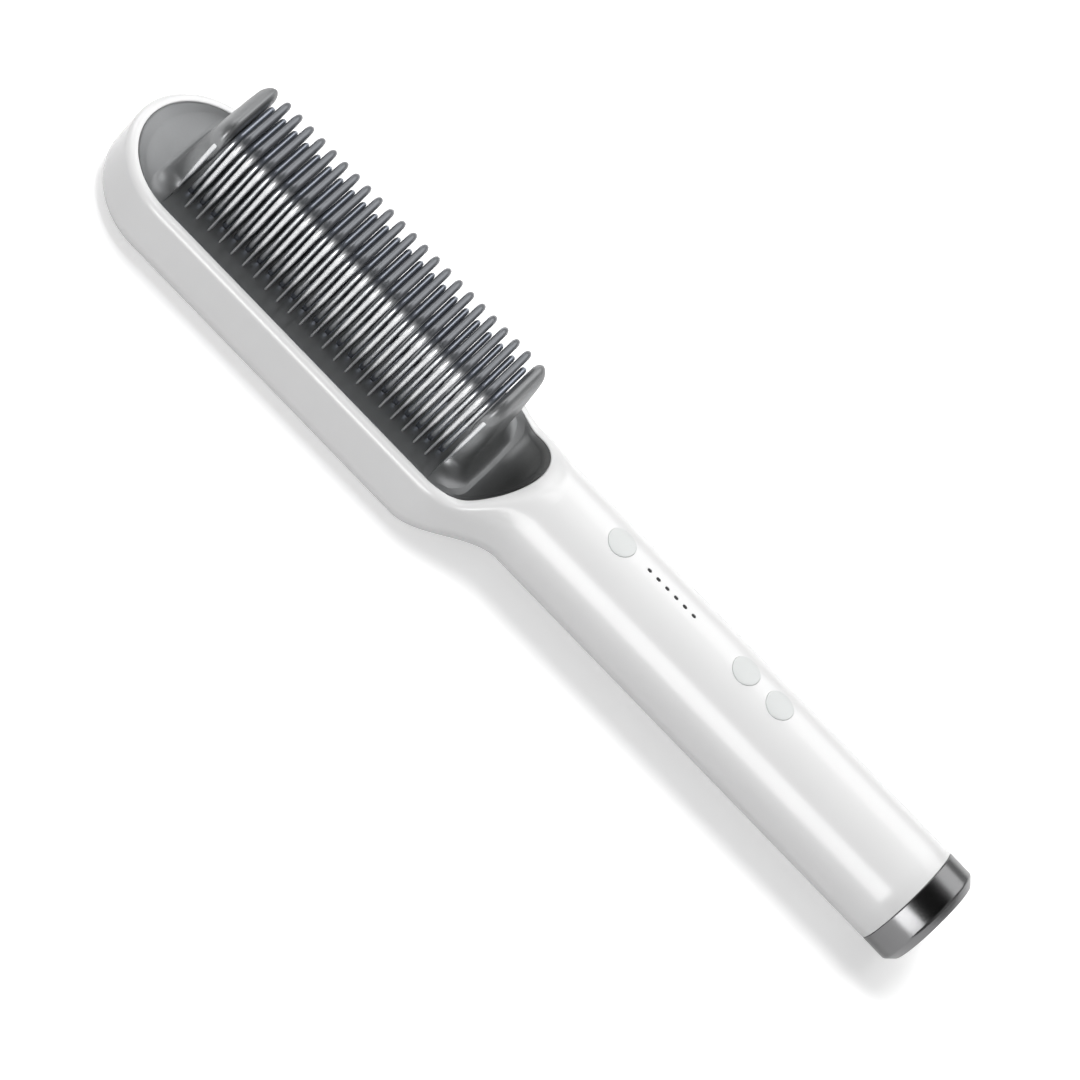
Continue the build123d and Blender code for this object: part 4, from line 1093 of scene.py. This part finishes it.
# Parts inside the body and on its back, kept as the frame has them: boards, leads, screws,
# heater, seals and the cord's swivel, each with the finish of its own material.
plain = (
    ("silicone", (0.55, 0.18, 0.12), 0.5, 0.7),
    ("amber_film", (0.55, 0.30, 0.06), 0.15, 0.3),
    ("bead_ceramic", (0.80, 0.78, 0.72), 0.5, 0.7),
    ("red_wire", (0.60, 0.08, 0.06), 0.4, 0.55),
    ("white_wire", (0.80, 0.80, 0.78), 0.4, 0.55),
    ("black_plastic", (0.03, 0.03, 0.032), 0.4, 0.55),
    ("lamp_white", (0.85, 0.85, 0.80), 0.15, 0.3),
    ("smoked_guide", (0.008, 0.008, 0.009), 0.35, 0.45),
    ("relay_case", (0.10, 0.22, 0.50), 0.3, 0.45),
    ("capacitor_sleeve", (0.04, 0.05, 0.10), 0.2, 0.35),
    ("end_grey", (0.10, 0.10, 0.105), 0.4, 0.55),
)
metals = (
    ("heater_sleeve", (0.75, 0.75, 0.76), 0.35, 0.5),
    ("fuse_case", (0.68, 0.62, 0.50), 0.25, 0.4),
    ("contact_brass", (0.72, 0.56, 0.25), 0.2, 0.35),
)
finishes = {name: finish(name, colour, low, high) for name, colour, low, high in plain}
for name, colour, low, high in metals:
    finishes[name] = finish(name, colour, low, high, metallic=1.0)
zinc_steel = finish("zinc_steel", (0.60, 0.60, 0.61), 0.25, 0.45, metallic=1.0, cloud_size=900.0)
finishes["zinc_steel"] = zinc_steel
shield_board = finish("shield_board", (0.55, 0.50, 0.42), 0.7, 0.9, cloud_size=400.0, tint=0.15)
finishes["shield_board"] = shield_board
finishes["board_green"] = finish("board_green", (0.05, 0.22, 0.10), 0.25, 0.4, cloud_size=500.0, tint=0.2)
finishes["coil_core"] = finish("coil_core", (0.10, 0.09, 0.085), 0.6, 0.8, tint=0.2)
finishes["white_plastic"] = white_plastic
finishes["guard_plastic"] = guard_plastic
finishes["heated_metal"] = coated_metal
finishes["button_plastic"] = button_plastic
finishes["dark_chrome"] = dark_chrome
for part in frame["record"]["subparts"]:
    frame["nodes"][part["node"]].data.materials[0] = finishes[part["material_slot"]]


# Studio. A pale floor that the camera sees as white, soft boxes above and in front,
# and the camera where the photograph was taken from.
floor_reach = 3.0
floor_level = -0.1 * mm
bounce_grey = (0.25, 0.25, 0.255, 1)
paper_white = (0.95, 0.95, 0.95, 1)
paper_glow = 0.36
glossy_share = 0.75
signs = ((-1, -1), (1, -1), (1, 1), (-1, 1))
corners = [(x * floor_reach, y * floor_reach, floor_level) for x, y in signs]
floor_mesh = bpy.data.meshes.new("floor")
floor_mesh.from_pydata(corners, [], [(0, 1, 2, 3)])
floor = bpy.data.objects.new("floor", floor_mesh)
bpy.context.scene.collection.objects.link(floor)
floor_finish = bpy.data.materials.new("floor_finish")
floor_finish.use_nodes = True
tree = floor_finish.node_tree
tree.nodes.clear()
bounce = wire(tree, "ShaderNodeBsdfDiffuse", [("Color", bounce_grey)])
paper = wire(tree, "ShaderNodeBsdfDiffuse", [("Color", paper_white)])
glow = wire(tree, "ShaderNodeEmission", [("Color", (1, 1, 1, 1)), ("Strength", paper_glow)])
shown = wire(tree, "ShaderNodeAddShader", [(0, paper.outputs[0]), (1, glow.outputs[0])])
path = wire(tree, "ShaderNodeLightPath").outputs
mirrored = [(0, path["Is Glossy Ray"]), (1, glossy_share)]
clear = wire(tree, "ShaderNodeMath", mirrored, operation="MULTIPLY").outputs[0]
for ray in ("Is Camera Ray", "Is Transmission Ray"):
    clear = wire(tree, "ShaderNodeMath", [(0, clear), (1, path[ray])], operation="MAXIMUM").outputs[0]
choose = wire(tree, "ShaderNodeMixShader", [(0, clear), (1, bounce.outputs[0]), (2, shown.outputs[0])])
wire(tree, "ShaderNodeOutputMaterial", [(0, choose.outputs[0])])
floor_mesh.materials.append(floor_finish)
floor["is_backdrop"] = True


def soft_box(name, place, target, size, power):
    """Area lamp of a given size in metres and power in watts that faces a target."""
    lamp = bpy.data.lights.new(name, "AREA")
    lamp.shape = "RECTANGLE"
    lamp.size, lamp.size_y = size
    lamp.energy = power
    body = bpy.data.objects.new(name, lamp)
    body.location = place
    body.rotation_euler = (Vector(place) - Vector(target)).to_track_quat("Z", "Y").to_euler()
    bpy.context.scene.collection.objects.link(body)
    return body


middle = (0.0, 0.0, 0.02)
soft_box("back_box", (0.1, 1.06, 1.08), middle, (1.7, 1.1), 8.6)
soft_box("front_box", (-0.05, -1.5, 0.49), middle, (1.0, 0.95), 13.6)
soft_box("left_box", (-1.25, 0.75, 0.72), middle, (0.9, 0.9), 4.2)
top_box = soft_box("top_box", (-0.3, 0.15, 1.5), middle, (0.6, 0.6), 13.0)
top_box.visible_glossy = False

# The room: brighter behind the object than in front, with a dark patch overhead that the
# blades and the handle mirror.
room_front, room_back = 0.1, 0.4
patch_way = (0.0, -0.276, 0.961)
patch_edge = (0.82, 0.90)
patch_level = 0.06
world = bpy.data.worlds.new("studio")
bpy.context.scene.world = world
world.use_nodes = True
tree = world.node_tree
sky = wire(tree, "ShaderNodeTexCoord").outputs["Generated"]


def towards(way, low, high, at_low, at_high):
    """Brightness that runs from one level to another as the view turns towards a direction."""
    facing = wire(tree, "ShaderNodeVectorMath", [(0, sky), (1, way)], operation="DOT_PRODUCT")
    settings = [("Value", facing.outputs["Value"]), ("From Min", low), ("From Max", high)]
    settings += [("To Min", at_low), ("To Max", at_high)]
    return wire(tree, "ShaderNodeMapRange", settings).outputs[0]


room = towards((0.0, 1.0, 0.0), -1.0, 1.0, room_front, room_back)
patch = towards(patch_way, *patch_edge, 1.0, patch_level)
strength = wire(tree, "ShaderNodeMath", [(0, room), (1, patch)], operation="MULTIPLY")
backdrop = tree.nodes["Background"]
backdrop.inputs["Color"].default_value = (1, 1, 1, 1)
tree.links.new(strength.outputs[0], backdrop.inputs["Strength"])

# Camera. Its place and turn were fitted to the object's outline in the photograph.
bpy.context.scene.view_settings.view_transform = "Standard"
camera_data = bpy.data.cameras.new("camera")
camera_data.sensor_width = 36.0
camera_data.lens = 197.8
camera_data.clip_end = 20.0
camera = bpy.data.objects.new("camera", camera_data)
camera.location = (-30.57 * mm, -965.45 * mm, 1082.95 * mm)
camera.rotation_euler = [math.radians(a) for a in (31.367, -29.587, 36.927)]
bpy.context.scene.collection.objects.link(camera)
bpy.context.scene.camera = camera

low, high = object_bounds()
{"cad": [list(cad_low), list(cad_high)], "visual": [list(low), list(high)]}
